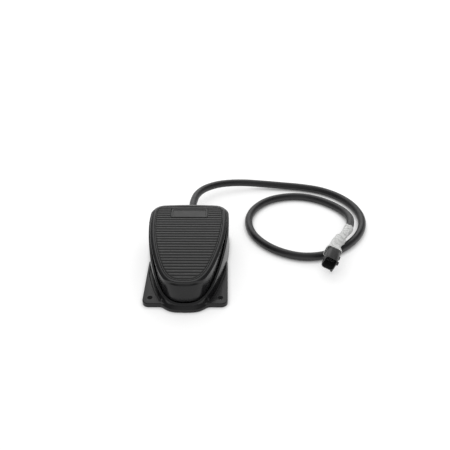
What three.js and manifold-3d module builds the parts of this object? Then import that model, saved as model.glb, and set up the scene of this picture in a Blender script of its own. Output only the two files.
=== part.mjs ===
// Foot switch for a machine or a platform: a ribbed treadle is hinged at the back of a low base with two
// screw-down ears, and presses a sealed switch. A thick rubber cord leaves the back in a gland, lies in one
// loop and ends in a sleeve and a sealed four-pin connector.
// Millimetres, +Z up. +Y points to the hinge and the cord, -Y to the tip of the treadle. The origin is on the
// floor under the middle of the base.
import * as THREE from "three";
import { mergeVertices } from "three/addons/utils/BufferGeometryUtils.js";
import Module from "manifold-3d";

const wasm = await Module();
wasm.setup();

// ---- Driving dimensions ----

// The treadle's outline in plan, as arcs from the middle of the far edge round to the tip. The radius of the
// long sides follows from the length.
const treadleLength = 147;
const farEdgeRadius = 394.6;
const farCornerRadius = 15.9;
const farCornerEnd = 87.7; // heading in degrees where the corner meets the side
const sideTurn = 21.5;
const taperRadius = 84.3;
const taperTurn = 10;
const tipRadius = 29.9;

// The treadle's top surface: its height at both ends and the crown between them.
const tipHeight = 36.8;
const farHeight = 45.6;
const crown = 2.0;

// The treadle's moulding.
const lipHeight = 3.0;
const lipOverhang = 1.0;
const lipRounding = 1.1;
const skirtWall = 2.2;
const skirtTipHeight = 9.2; // bottom of the skirt at the tip
const skirtSlope = 0.02;
const capThickness = 2.4;
const borderWidth = 5.2;
const padRecess = 2.0;

// The ribbed pad in the treadle and the bare plate in the pad.
const padGap = 0.4;
const padMargin = 0.7;
const padEdge = 0.4;
const ribRoot = 0.8;
const plateSink = 0.6;
const ribPitch = 4.66;
const ribHeight = 1.1;
const ribTopShare = 0.42;
const plateWidth = 46;
const plateLength = 19.5;
const plateInset = 13.5; // from the treadle's far edge to the plate
const plateThickness = 1.5;
const plateBevel = 2.6;

// The base.
const skirtClearance = 0.8;
const rimLand = 2.7;
const rimTipHeight = 8.0;
const rimDip = 3.2; // how much the rim sinks towards the tip, besides its slope
const rimDipLength = 9;
const rimSlope = 0.264;
const rimRounding = 0.65;
const rimGap = 1.0; // under the lip where the rim runs along it
const wallDraft = 0.9;
const footRounding = 0.7;
const floorThickness = 3.0;
const earHalfWidth = 48.6;
const earSetBack = 3.5; // from the treadle's tip back to the ears' front edge
const earLength = 80.1;
const earThickness = 5.4;
const earCornerRadius = 7.5;
const earEdgeRadius = 1;
const earFillet = 4; // between the ears' front edge and the swollen foot
const earHoleX = 40.2;
const earHoleInset = 10;
const earHoleDiameter = 6;
const pocketFloor = 1.6;
const pocketInner = 2.6; // offsets from the treadle's outline
const pocketOuter = 5.8;
const pocketSideWall = 2.4; // left of the ear beside the pocket
const pocketFromTip = 8.4;
const pocketFromBack = 3;
const bulgeOffset = 5.7; // in the middle
const bulgeShoulder = 2.0; // more than that at both sides of the middle
const bulgeMiddleHalf = 1.6; // half widths where the shoulders start and are full
const bulgeShoulderHalf = 15;
const bulgeFootHeight = 3.4;
const bulgeFull = 8.3; // distances behind the tip where the swelling is full and where it starts
const bulgeStart = 16.3;

// The hinge.
const hingeInset = 16.65; // from the treadle's far edge to the shaft
const pivotZ = 20;
const pressAngle = 2.4; // degrees from rest to the stop
const shaftDiameter = 6;
const lugThickness = 5;
const lugRadius = 6.5;
const baseLugX = 32;
const bushWall = 1.4;
const bushFlange = 0.8;
const clipThickness = 1.0;
const clipDiameter = 10;
const shaftEnd = 1.6; // past the clips

// The return spring, under the treadle near its tip.
const springFromTip = 38.35;
const springRadius = 7;
const springWire = 1.7;
const springTurns = 6;
const springPostHeight = 5;
const springPadHeight = 1.4;
const springPadMargin = 0.8;
const springGuideLength = 6;

// Rubber bumpers: the front pair stops the press, the rear pair holds the treadle at rest.
const frontBumperX = 19;
const frontBumperFromTip = 25.35;
const frontBumperTop = 14;
const frontBumperRadius = 4.5;
const rearBumperX = 18.5;
const rearBumperFromPivot = 9;
const rearBumperTop = 11.6;
const rearBumperRadius = 3.2;
const rearStopMargin = 0.4;
const rearStopShift = 1.6; // of the treadle's stop behind the middle of the bumper

// The bottom cover and what stands on it.
const openingHalfX = 25;
const openingFromSpring = 13.15; // from the spring's outside back to the opening
const openingToPivot = 19; // from the opening on to the shaft
const coverLedge = 6.5;
const coverThickness = 2.0;
const gasketThickness = 0.9;
const frameWidth = 8;
const frameHeight = 8;
const coverCornerRadius = 3;
const screwInset = 3.4;
const screwBossRadius = 4.5;
const screwBossTop = 11.5;
const screwDiameter = 3;
const screwHeadDiameter = 6;
const coverScrewLength = 9;
const bracketBossX = 9;
const bracketBossY = 17;
const bracketBossTop = 6;
const bracketThickness = 1.5;
const bracketDepth = 18;

// The switch.
const switchWidth = 28;
const switchDepth = 12;
const switchBottom = 9;
const switchTop = 26;
const switchScrewX = 9.5;
const switchScrewZ = 14.5;
const plungerDiameter = 5;
const plungerTop = 29.4;
const plungerLength = 8.4;
const actuatorDiameter = 5;
const actuatorHeadDiameter = 9;
const actuatorHeadHeight = 3;
const actuatorNutHeight = 3;
const actuatorBossRadius = 5.5;
const actuatorLength = 10;

// The cord, its gland and the wires inside.
const cordDiameter = 10.4;
const cordZ = 17;
const glandFlange = 22;
const glandFlangeLength = 4.5;
const glandThread = 16;
const glandNutLength = 4;
const glandCapLength = 14.5;
const glandWasher = 1.4;
const notchMargin = 3.3; // of the treadle's notch round the gland's nut
const notchDepth = 8;
const cordTailInside = 9.25; // of the cord in front of the treadle's far edge
const wireDiameter = 1.6;
const wireSpacing = 2.3;

// The sleeve and the connector on the cord's end.
const sleeveRearRadius = 6.4;
const sleeveWall = 0.6;
const bootWall = 0.6;
const bootLipWall = 1.0;
const bootStepRadius = 7.6;
const bootNeckRadius = 7.9;
const bootNeck = 12.5; // distance behind the barrel where the boot is round
const bootMouth = [10.1, 10.3]; // half width and half height round the barrel's end
const bootMouthCorner = 5;
const bootShift = 0.3; // of its mouth to the connector's left
const sleeveStep = 39; // the boot's length behind the barrel
const sleeveEnd = 72; // the rear sleeve's far end, behind the barrel
const sleeveOverlap = 7; // of the rear sleeve in the boot
const jacketInSleeve = 7;
const connectorWidth = 16;
const connectorHeight = 20.2;
const connectorBarrel = 18.6;
const connectorWall = 1.2;
const connectorCorner = 4.8;
const guideHeight = 3; // of the guide blocks' middle above the axis
const guideWidth = 3;
const guideProud = 1.7;
const guideLength = 4.5;
const guidePitch = 9.5;
const keyWidth = 2.8;
const keyProud = 1.6;
const keyLength = 6;
const connectorFloor = 3;
const connectorTail = 9; // the part behind the barrel, inside the sleeve
const connectorTailRadius = 5.8;
const sealLength = 4;
const pinDiameter = 1.6;
const pinLength = 5.5;
const pinPitchX = 4.6;
const pinPitchZ = 5.4;
const wedgeThickness = 2.4;
const connectorMouth = [170.5, -10.7, 16.7];
const connectorHeading = -20; // degrees about Z, then Y and X
const connectorRoll = 17;
const connectorPitch = 4.2;

const clearance = 0.3; // between pieces that touch
const holeClearance = 0.3; // round a screw or pin, on the radius

// ---- Materials ----

function finish(color, roughness, metalness = 0) {
  return new THREE.MeshStandardMaterial({ color, roughness, metalness });
}
const blackPlastic = finish(0x1d1d1e, 0.45);
const ribbedRubber = finish(0x262627, 0.6);
const platePlastic = finish(0x343434, 0.5);
const softRubber = finish(0x171717, 0.85);
const cordRubber = finish(0x2b2b2c, 0.65);
const steel = finish(0xb8babd, 0.35, 1);
const springSteel = finish(0x8d8f92, 0.4, 1);
const brass = finish(0xc9a860, 0.35, 1);
const switchPlastic = finish(0x2f4858, 0.5);
const whiteNylon = finish(0xd9d6cc, 0.5);
const greySleeve = finish(0xc9cac8, 0.55);
const wireColors = [0xb03028, 0x1c1c1c, 0xe0e0dc, 0x2f7a3c].map((color) => finish(color, 0.55));

// ---- Helpers: solids, cuts and joins ----

const radians = THREE.MathUtils.degToRad;

function solid(shape) {
  if (!(shape instanceof THREE.BufferGeometry)) return shape;
  const loose = shape.index ? shape.toNonIndexed() : shape;
  const bare = new THREE.BufferGeometry().setAttribute("position", loose.getAttribute("position"));
  const merged = mergeVertices(bare, 1e-4);
  return new wasm.Manifold(
    new wasm.Mesh({
      numProp: 3,
      vertProperties: merged.attributes.position.array,
      triVerts: new Uint32Array(merged.index.array),
    }),
  );
}

function join(...shapes) {
  return shapes.map(solid).reduce((sum, next) => sum.add(next));
}

function cut(body, ...tools) {
  return tools.map(solid).reduce((rest, tool) => rest.subtract(tool), solid(body));
}

function common(first, second) {
  return solid(first).intersect(solid(second));
}

function meshOf(name, shape, material) {
  const { vertProperties, triVerts } = solid(shape).getMesh();
  const geometry = new THREE.BufferGeometry()
    .setAttribute("position", new THREE.BufferAttribute(vertProperties, 3))
    .setIndex(new THREE.BufferAttribute(triVerts, 1))
    .toNonIndexed();
  geometry.computeVertexNormals();
  const mesh = new THREE.Mesh(geometry, material);
  mesh.name = name;
  return mesh;
}

// A turned piece about +Z. The profile is a list of [radius, height] that closes on the axis or on itself.
function turned(profile, sides = 16) {
  const points = profile.map(([r, h]) => new THREE.Vector2(r, h));
  return new THREE.LatheGeometry(points, sides).rotateX(Math.PI / 2);
}

function cylinder(radius, low, high, sides = 16) {
  return turned([[0, low], [radius, low], [radius, high], [0, high]], sides);
}

function tube(outer, inner, low, high, sides = 16) {
  return turned([[inner, low], [outer, low], [outer, high], [inner, high], [inner, low]], sides);
}

// Turns a piece made about +Z so that it runs along +X or +Y.
const alongX = (geometry) => geometry.rotateY(Math.PI / 2);
const alongY = (geometry) => geometry.rotateX(-Math.PI / 2);

function box(low, high) {
  const size = high.map((value, i) => value - low[i]);
  const middle = high.map((value, i) => (value + low[i]) / 2);
  return new THREE.BoxGeometry(...size).translate(...middle);
}

function roundedRectangle(halfX, halfY, radius) {
  const shape = new THREE.Shape();
  shape.moveTo(halfX, radius - halfY);
  shape.absarc(halfX - radius, halfY - radius, radius, 0, Math.PI / 2);
  shape.absarc(radius - halfX, halfY - radius, radius, Math.PI / 2, Math.PI);
  shape.absarc(radius - halfX, radius - halfY, radius, Math.PI, 1.5 * Math.PI);
  shape.absarc(halfX - radius, radius - halfY, radius, 1.5 * Math.PI, 2 * Math.PI);
  shape.closePath();
  return shape;
}

function hexagon(acrossFlats) {
  const corner = acrossFlats / Math.sqrt(3);
  const corners = [0, 1, 2, 3, 4, 5].map((i) => {
    const angle = radians(60 * i);
    return new THREE.Vector2(corner * Math.cos(angle), corner * Math.sin(angle));
  });
  return new THREE.Shape(corners);
}

function prism(shape, low, high, curveSegments = 2) {
  const settings = { depth: high - low, bevelEnabled: false, curveSegments };
  return new THREE.ExtrudeGeometry(shape, settings).translate(0, 0, low);
}

// A prism of a shape drawn in Y and Z, from one X to another.
function prismX(shape, low, high) {
  const basis = new THREE.Matrix4().makeBasis(
    new THREE.Vector3(0, 1, 0),
    new THREE.Vector3(0, 0, 1),
    new THREE.Vector3(1, 0, 0),
  );
  return prism(shape, 0, high - low, 5).applyMatrix4(basis).translate(low, 0, 0);
}

function disc(radius, sides) {
  const corners = Array.from({ length: sides }, (_, i) => {
    const angle = (2 * Math.PI * i) / sides;
    return new THREE.Vector2(radius * Math.cos(angle), radius * Math.sin(angle));
  });
  return new THREE.Shape(corners);
}

// A round bar or, with a bore, a hose along a curve.
function swept(curve, radius, sides, steps, bore = 0) {
  const shape = disc(radius, sides);
  if (bore) shape.holes.push(new THREE.Path(disc(bore, sides).getPoints().reverse()));
  return new THREE.ExtrudeGeometry(shape, { steps, extrudePath: curve, curveSegments: 1 });
}

const curveThrough = (points) =>
  new THREE.CatmullRomCurve3(points.map((point) => new THREE.Vector3(...point)), false, "centripetal");

// ---- The treadle's outline and the surfaces that follow it ----

// Offsets from the treadle's outline: its skirt, the base's cavity, rim and foot.
const skirtOffset = -lipOverhang;
const cavityOffset = skirtOffset + skirtClearance;
const rimOffset = cavityOffset + rimLand;
const baseFoot = rimOffset + wallDraft;

// The arcs of the right half for one radius of the long sides. The far edge's arc is as long as closes the
// outline on the axis of symmetry.
function arcsWith(sideRadius) {
  const toTip = [
    { radius: farCornerRadius, to: farCornerEnd, steps: 7 },
    { radius: sideRadius, to: farCornerEnd + sideTurn, steps: 5 },
    { radius: taperRadius, to: farCornerEnd + sideTurn + taperTurn, steps: 3 },
    { radius: tipRadius, to: 180, steps: 8 },
  ];
  const width = toTip.reduce((sum, { radius, to }, i) => {
    const from = i ? toTip[i - 1].to : 0;
    return sum + radius * (Math.sin(radians(to)) - Math.sin(radians(from)));
  }, 0);
  const farEdgeEnd = THREE.MathUtils.radToDeg(Math.asin(-width / (farEdgeRadius - farCornerRadius)));
  return [{ radius: farEdgeRadius, to: farEdgeEnd, steps: 2 }, ...toTip];
}

const lengthOf = (arcs) =>
  arcs.reduce((length, { radius, to }, i) => {
    const from = i ? arcs[i - 1].to : 0;
    return length + radius * (Math.cos(radians(from)) - Math.cos(radians(to)));
  }, 0);

// The radius of the long sides, by steps along the secant until the outline has the treadle's length.
const arcs = (() => {
  let [last, radius] = [1.8 * treadleLength, 1.9 * treadleLength];
  for (let step = 0; step < 6; step++) {
    const [lastLength, length] = [lengthOf(arcsWith(last)), lengthOf(arcsWith(radius))];
    if (Math.abs(length - lastLength) < 1e-9) break;
    const next = radius + ((treadleLength - length) * (radius - last)) / (length - lastLength);
    [last, radius] = [radius, next];
  }
  return arcsWith(radius);
})();

// The base reaches further past the tip than past the far edge, and its middle is the origin.
const farY = (treadleLength + bulgeOffset - baseFoot) / 2;
const tipY = farY - treadleLength;
const tipCentreY = tipY + tipRadius;

// What keeps its place from the treadle's ends.
const pivotY = farY - hingeInset;
const rearBumperY = pivotY + rearBumperFromPivot;
const springY = tipY + springFromTip;
const frontBumperY = tipY + frontBumperFromTip;
const cordTailStart = farY - cordTailInside;
const earFrontY = tipY + earSetBack;
const earBackY = earFrontY + earLength;
const earHoleY = earFrontY + earHoleInset;
const openingFrontY = springY + springRadius + springWire / 2 + openingFromSpring;
const openingBackY = pivotY - openingToPivot;
const coverY = (openingFrontY + openingBackY) / 2;
const openingHalfY = (openingBackY - openingFrontY) / 2;

// Points [x, y, heading] of the right half of the outline, from the far edge to the tip. The heading is the
// outward direction, clockwise from +Y.
const outlinePoints = [[0, farY, 0]];
for (const { radius, to, steps } of arcs) {
  const [startX, startY, from] = outlinePoints.at(-1);
  const centreX = startX - radius * Math.sin(from);
  const centreY = startY - radius * Math.cos(from);
  for (let k = 1; k <= steps; k++) {
    const heading = from + ((radians(to) - from) * k) / steps;
    outlinePoints.push([centreX + radius * Math.sin(heading), centreY + radius * Math.cos(heading), heading]);
  }
}
outlinePoints.at(-1)[0] = 0;

// A number, or what a function of y and x gives.
const valueAt = (value, y, x) => (typeof value === "function" ? value(y, x) : value);

// The right half of the outline, grown by an offset that may depend on y and x.
function halfOutline(offset) {
  return outlinePoints.map(([x, y, heading], i) => {
    const out = valueAt(offset, y, x);
    const onAxis = i === 0 || i === outlinePoints.length - 1;
    return [onAxis ? 0 : x + out * Math.sin(heading), y + out * Math.cos(heading)];
  });
}

// A closed ring of points at a height that may depend on y.
function ring(offset, height) {
  const right = halfOutline(offset);
  const left = right.slice(1, -1).reverse().map(([x, y]) => [-x, y]);
  return [...right, ...left].map(([x, y]) => [x, y, valueAt(height, y)]);
}

// The strip of triangles between two rings.
function band(a, b) {
  return a.flatMap((_, i) => {
    const j = (i + 1) % a.length;
    return [a[i], b[i], a[j], a[j], b[i], b[j]].flat();
  });
}

// A hose: the rings run along its outside and back along its bore.
function hose(rings) {
  const triangles = rings.flatMap((ringNow, r) => band(ringNow, rings[(r + 1) % rings.length]));
  return new THREE.BufferGeometry().setAttribute("position", new THREE.Float32BufferAttribute(triangles, 3));
}

// The closed surface that runs through the rings. Both ends are closed by strips across the outline, so they
// follow a height that depends on y.
function loft(rings) {
  const count = rings[0].length;
  const half = count / 2;
  const triangles = [];
  const face = (...corners) => triangles.push(...corners.flat());
  for (let r = 0; r + 1 < rings.length; r++) triangles.push(...band(rings[r], rings[r + 1]));
  const closeEnd = (points, flip) => {
    const add = (a, b, c) => (flip ? face(a, c, b) : face(a, b, c));
    for (let i = 0; i < half; i++) {
      const [right, nextRight] = [points[i], points[i + 1]];
      const [left, nextLeft] = [points[(count - i) % count], points[count - i - 1]];
      if (i + 1 < half) add(right, nextRight, nextLeft);
      if (i > 0) add(right, i + 1 < half ? nextLeft : nextRight, left);
    }
  };
  closeEnd(rings[0], false);
  closeEnd(rings.at(-1), true);
  return new THREE.BufferGeometry().setAttribute("position", new THREE.Float32BufferAttribute(triangles, 3));
}

// Heights along y.
function topHeight(y) {
  const t = (y - tipY) / treadleLength;
  return tipHeight + (farHeight - tipHeight) * t + 4 * crown * t * (1 - t);
}
const recessHeight = (y) => topHeight(y) - padRecess;
const ceilingHeight = (y) => recessHeight(y) - capThickness;
const skirtHeight = (y) => skirtTipHeight + skirtSlope * (y - tipY);
const rimHeight = (y) => {
  const fromTip = y - tipY;
  const risen = rimTipHeight + rimDip * (1 - Math.exp(-fromTip / rimDipLength)) + rimSlope * fromTip;
  return Math.min(risen, topHeight(y) - lipHeight - rimGap);
};

// How far a point of the treadle sinks from rest to the stop.
const travelAt = (y) => (pivotY - y) * Math.tan(radians(pressAngle));

// ---- The base ----

const recessTop = coverThickness + gasketThickness + 3 * clearance;
const recessHalfX = openingHalfX + coverLedge;
const recessHalfY = openingHalfY + coverLedge;
const coverScrewPlaces = [-1, 1].flatMap((sx) =>
  [-1, 1].map((sy) => [sx * (recessHalfX - screwInset), coverY + sy * (recessHalfY - screwInset)]),
);
const screwHole = screwDiameter / 2 + holeClearance;

// The rear wall where the gland goes through.
const rearWallInside = farY + cavityOffset;
const rearWallOutside = farY + rimOffset + (wallDraft * (rimHeight(farY) - cordZ)) / rimHeight(farY);

function lug(low, high, thickness, x, bore) {
  const shape = new THREE.Shape();
  if (low < pivotZ - lugRadius) {
    shape.moveTo(pivotY - lugRadius, low);
    shape.lineTo(pivotY + lugRadius, low);
    shape.absarc(pivotY, pivotZ, lugRadius, 0, Math.PI);
  } else {
    shape.moveTo(pivotY + lugRadius, high);
    shape.lineTo(pivotY - lugRadius, high);
    shape.absarc(pivotY, pivotZ, lugRadius, Math.PI, 2 * Math.PI);
  }
  shape.closePath();
  const hole = alongX(cylinder(bore, x - thickness, x + thickness)).translate(0, pivotY, pivotZ);
  return cut(prismX(shape, x - thickness / 2, x + thickness / 2), hole);
}

// The wall with its rounded front: near the tip the foot swells out between the ears, most at both sides of
// the middle.
function baseWall() {
  const swollen = (y, x) => {
    const sideways = THREE.MathUtils.smoothstep(Math.abs(x), bulgeMiddleHalf, bulgeShoulderHalf);
    const nearTip = 1 - THREE.MathUtils.smoothstep(y - tipY, bulgeFull, bulgeStart);
    return (bulgeOffset + bulgeShoulder * sideways - baseFoot) * nearTip;
  };
  const at = (offset, share) => (y, x) => offset + share * swollen(y, x);
  const wallTop = rimTipHeight - rimRounding;
  const heightAt = (share) => bulgeFootHeight + (wallTop - bulgeFootHeight) * share;
  const draftAt = (height) => wallDraft * (1 - height / wallTop);
  return loft([
    ring(at(baseFoot - footRounding, 1), 0),
    ring(at(baseFoot, 1), footRounding),
    ring(at(rimOffset + draftAt(bulgeFootHeight), 1), bulgeFootHeight),
    ring(at(rimOffset + draftAt(heightAt(0.4)), 0.7), heightAt(0.4)),
    ring(at(rimOffset + draftAt(heightAt(0.75)), 0.25), heightAt(0.75)),
    ring(rimOffset, (y) => rimHeight(y) - rimRounding),
    ring(rimOffset - rimRounding, rimHeight),
  ]);
}

function cavity() {
  return loft([
    ring(cavityOffset, floorThickness),
    ring(cavityOffset, (y) => rimHeight(y) - rimRounding),
    ring(cavityOffset + rimRounding, rimHeight),
    ring(cavityOffset + rimRounding, farHeight + crown),
  ]);
}

// The plate of both ears in plan, drawn in by an inset. A fillet leads each front edge into the swollen foot,
// and the line that closes the shape between the two lies inside the foot.
function earPlate(inset) {
  const halfX = earHalfWidth - inset;
  const [front, back] = [earFrontY + inset, earBackY - inset];
  const corner = earCornerRadius - inset;
  const filletY = earFrontY - earFillet;
  const toTipCentre = tipRadius + bulgeOffset + bulgeShoulder + earFillet;
  const filletX = Math.sqrt(toTipCentre ** 2 - (tipCentreY - filletY) ** 2);
  const meeting = Math.atan2(tipCentreY - filletY, filletX);
  const shape = new THREE.Shape();
  shape.moveTo(halfX, front + corner);
  shape.absarc(halfX - corner, back - corner, corner, 0, Math.PI / 2);
  shape.absarc(corner - halfX, back - corner, corner, Math.PI / 2, Math.PI);
  shape.absarc(corner - halfX, front + corner, corner, Math.PI, 1.5 * Math.PI);
  shape.absarc(-filletX, filletY, earFillet + inset, Math.PI / 2, meeting, true);
  shape.absarc(filletX, filletY, earFillet + inset, Math.PI - meeting, Math.PI / 2, true);
  shape.absarc(halfX - corner, front + corner, corner, 1.5 * Math.PI, 2 * Math.PI);
  shape.closePath();
  return shape;
}

// The flat ears at the tip's end, with the narrow pocket between each ear's pad and the wall.
function ears() {
  const slab = prism(earPlate(0), 0, earThickness - earEdgeRadius, 2);
  const edge = {
    depth: 0.1 * earEdgeRadius,
    bevelThickness: 0.9 * earEdgeRadius,
    bevelSize: earEdgeRadius,
    bevelSegments: 2,
    curveSegments: 2,
  };
  const rounded = new THREE.ExtrudeGeometry(earPlate(earEdgeRadius), edge);
  const plate = join(slab, rounded.translate(0, 0, earThickness - earEdgeRadius));
  const pocketHalf = earHalfWidth - pocketSideWall;
  const pocketLength = common(
    loft([ring(pocketOuter, pocketFloor), ring(pocketOuter + 0.4, earThickness + 1)]),
    box([-pocketHalf, tipY + pocketFromTip, 0], [pocketHalf, earBackY - pocketFromBack, 2 * earThickness]),
  );
  const pocket = cut(
    pocketLength,
    loft([ring(pocketInner, pocketFloor - 1), ring(pocketInner, earThickness + 2)]),
  );
  const holes = [-1, 1].map((side) =>
    cylinder(earHoleDiameter / 2, -1, earThickness + 1).translate(side * earHoleX, earHoleY, 0),
  );
  return cut(plate, pocket, ...holes);
}

function baseHousing() {
  const shell = cut(join(baseWall(), ears()), cavity());
  const frameOuter = roundedRectangle(openingHalfX + frameWidth, openingHalfY + frameWidth, coverCornerRadius);
  const frame = prism(frameOuter, 1, frameHeight).translate(0, coverY, 0);
  const bosses = coverScrewPlaces.map(([x, y]) => cylinder(screwBossRadius, 1, screwBossTop, 16).translate(x, y, 0));
  const lugs = [-1, 1].map((side) =>
    lug(1, pivotZ, lugThickness, side * baseLugX, shaftDiameter / 2 + holeClearance),
  );
  const springPost = cylinder(springRadius - springWire, 1, floorThickness + springPostHeight).translate(0, springY, 0);
  const opening = roundedRectangle(openingHalfX, openingHalfY, coverCornerRadius - 2);
  const recess = roundedRectangle(recessHalfX, recessHalfY, coverCornerRadius);
  const screwHoles = coverScrewPlaces.map(([x, y]) => cylinder(screwHole, 0, screwBossTop - 1.5, 12).translate(x, y, 0));
  const glandHole = alongY(cylinder(glandThread / 2 + holeClearance, rearWallInside - 4, farY + 8));
  return cut(
    join(shell, frame, ...bosses, ...lugs, springPost),
    prism(opening, -1, frameHeight + 10).translate(0, coverY, 0),
    prism(recess, -1, recessTop).translate(0, coverY, 0),
    ...screwHoles,
    glandHole.translate(0, 0, cordZ),
  );
}

function bottomCover() {
  const outline = roundedRectangle(recessHalfX - clearance, recessHalfY - clearance, coverCornerRadius - clearance);
  const plate = prism(outline, clearance, clearance + coverThickness).translate(0, coverY, 0);
  const bosses = [-1, 1].map((side) =>
    cylinder(4, coverThickness / 2, bracketBossTop, 16).translate(side * bracketBossX, bracketBossY, 0),
  );
  const bossHoles = [-1, 1].map((side) =>
    cylinder(screwHole, clearance + coverThickness, bracketBossTop + 1, 12).translate(
      side * bracketBossX,
      bracketBossY,
      0,
    ),
  );
  const sinks = coverScrewPlaces.map(([x, y]) =>
    turned([
      [0, 0],
      [screwHeadDiameter / 2 + holeClearance + 0.2, 0],
      [screwHole, 2],
      [screwHole, 4],
      [0, 4],
    ], 12).translate(x, y, 0),
  );
  return cut(join(plate, ...bosses), ...bossHoles, ...sinks);
}

function coverGasket() {
  const low = coverThickness + 2 * clearance;
  const outer = roundedRectangle(recessHalfX - 2 * clearance, recessHalfY - 2 * clearance, coverCornerRadius - 0.6);
  const inner = roundedRectangle(openingHalfX + clearance, openingHalfY + clearance, coverCornerRadius - 2);
  const holes = coverScrewPlaces.map(([x, y]) => cylinder(screwHole, 0, 10, 12).translate(x, y, 0));
  return cut(
    prism(outer, low, low + gasketThickness).translate(0, coverY, 0),
    prism(inner, 0, 10).translate(0, coverY, 0),
    ...holes,
  );
}

// A countersunk screw that points up, with its head level with the cover.
function coverScrew() {
  const head = screwHeadDiameter / 2;
  const shank = screwDiameter / 2;
  return turned([
    [0, clearance + 0.1],
    [head, clearance + 0.1],
    [shank, clearance + 0.1 + (head - shank)],
    [shank, coverScrewLength],
    [0, coverScrewLength],
  ], 12);
}

// A cheese-head screw along -Z, with the underside of its head at the origin.
function cheeseScrew(length) {
  const head = screwHeadDiameter / 2;
  const shank = screwDiameter / 2;
  return turned([[0, -length], [shank, -length], [shank, 0], [head, 0], [head, 1.9], [0, 1.9]], 12);
}

function bumper(radius, top) {
  const low = floorThickness + clearance;
  return turned([[0, low], [radius, low], [radius, top - 1.2], [radius - 1.2, top], [0, top]], 16);
}

// ---- The hinge ----

const treadleLugX = baseLugX - lugThickness / 2 - bushFlange - 2 * clearance - lugThickness / 2;
const clipX = baseLugX + lugThickness / 2 + clearance;
const shaftBore = shaftDiameter / 2 + holeClearance;

function pivotShaft() {
  const end = clipX + clipThickness + shaftEnd;
  const r = shaftDiameter / 2;
  const profile = [[0, -end], [r - 0.6, -end], [r, 0.6 - end], [r, end - 0.6], [r - 0.6, end], [0, end]];
  return alongX(turned(profile)).translate(0, pivotY, pivotZ);
}

// An open ring that snaps on the shaft.
function retainingClip(side) {
  const low = side > 0 ? clipX : -clipX - clipThickness;
  const high = low + clipThickness;
  const clip = alongX(tube(clipDiameter / 2, shaftBore, low, high)).translate(0, pivotY, pivotZ);
  return cut(clip, box([low - 1, pivotY - 1.6, 0], [high + 1, pivotY + 1.6, pivotZ]));
}

function hingeBush(side) {
  const outer = shaftBore + bushWall;
  const inside = treadleLugX - lugThickness / 2;
  const flangeFrom = treadleLugX + lugThickness / 2 + clearance;
  const profile = [
    [shaftBore, inside],
    [outer, inside],
    [outer, flangeFrom],
    [lugRadius - 0.3, flangeFrom],
    [lugRadius - 0.3, flangeFrom + bushFlange],
    [shaftBore, flangeFrom + bushFlange],
    [shaftBore, inside],
  ];
  const bush = alongX(turned(profile));
  return (side > 0 ? bush : bush.rotateZ(Math.PI)).translate(0, pivotY, pivotZ);
}

// ---- The return spring ----

const springLow = floorThickness + clearance + springWire / 2;
const springPadLow = ceilingHeight(springY) - springPadHeight;
const springHigh = springPadLow - clearance - springWire / 2;

class Helix extends THREE.Curve {
  getPoint(t, target = new THREE.Vector3()) {
    const angle = 2 * Math.PI * springTurns * t;
    const height = springLow + (springHigh - springLow) * t;
    return target.set(springRadius * Math.cos(angle), springRadius * Math.sin(angle), height);
  }
}

function returnSpring() {
  return swept(new Helix(), springWire / 2, 5, 8 * springTurns).translate(0, springY, 0);
}

// ---- The treadle ----

const frontStopLow = frontBumperTop + travelAt(frontBumperY - frontBumperRadius) + clearance;

function treadleShell() {
  const inner = skirtOffset - skirtWall;
  const shell = loft([
    ring(inner, ceilingHeight),
    ring(inner, skirtHeight),
    ring(skirtOffset, skirtHeight),
    ring(skirtOffset, (y) => topHeight(y) - lipHeight),
    ring(0, (y) => topHeight(y) - lipHeight),
    ring(0, (y) => topHeight(y) - lipRounding),
    ring(-lipRounding, topHeight),
    ring(-borderWidth, topHeight),
    ring(-borderWidth, recessHeight),
  ]);
  const lugs = [-1, 1].map((side) =>
    lug(pivotZ - lugRadius, ceilingHeight(pivotY) + 1, lugThickness, side * treadleLugX, shaftBore + bushWall + holeClearance),
  );
  const hang = (radius, x, y, low) =>
    cylinder(radius, low, ceilingHeight(y) + 1).translate(x, y, 0);
  const stops = [-1, 1].flatMap((side) => [
    hang(frontBumperRadius, side * frontBumperX, frontBumperY, frontStopLow),
    hang(
      rearBumperRadius + rearStopMargin,
      side * rearBumperX,
      rearBumperY + rearStopShift,
      rearBumperTop + clearance,
    ),
  ]);
  const springPad = hang(springRadius + springWire + springPadMargin, 0, springY, springPadLow);
  const springGuide = hang(springRadius - springWire, 0, springY, springPadLow - springGuideLength);
  const actuatorBoss = hang(actuatorBossRadius, 0, 0, actuatorBossLow);
  const actuatorHole = cylinder(actuatorDiameter / 2 + holeClearance, 0, actuatorHigh + clearance);
  const cordNotch = box(
    [-glandFlange / 2 - notchMargin, rearWallInside - notchDepth, 0],
    [glandFlange / 2 + notchMargin, rearWallInside, cordZ + glandFlange / 2 + notchMargin],
  );
  return cut(
    join(shell, ...lugs, ...stops, springPad, springGuide, actuatorBoss),
    actuatorHole,
    cordNotch,
  );
}

const actuatorHeadLow = plungerTop + clearance;
const actuatorNutLow = actuatorHeadLow + actuatorHeadHeight + clearance;
const actuatorBossLow = actuatorNutLow + actuatorNutHeight + clearance;
const actuatorHigh = actuatorHeadLow + actuatorLength;

function actuatorScrew() {
  const head = prism(hexagon(actuatorHeadDiameter), actuatorHeadLow, actuatorHeadLow + actuatorHeadHeight);
  return join(head, cylinder(actuatorDiameter / 2, actuatorHeadLow + 1, actuatorHigh, 16));
}

function actuatorNut() {
  const nut = prism(hexagon(actuatorHeadDiameter), actuatorNutLow, actuatorNutLow + actuatorNutHeight);
  return cut(nut, cylinder(actuatorDiameter / 2 + holeClearance, 0, actuatorHigh, 16));
}

// ---- The ribbed pad ----

const padOffset = -(borderWidth + padGap);
const plateHigh = farY - plateInset;
const plateLow = plateHigh - plateLength;

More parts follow.
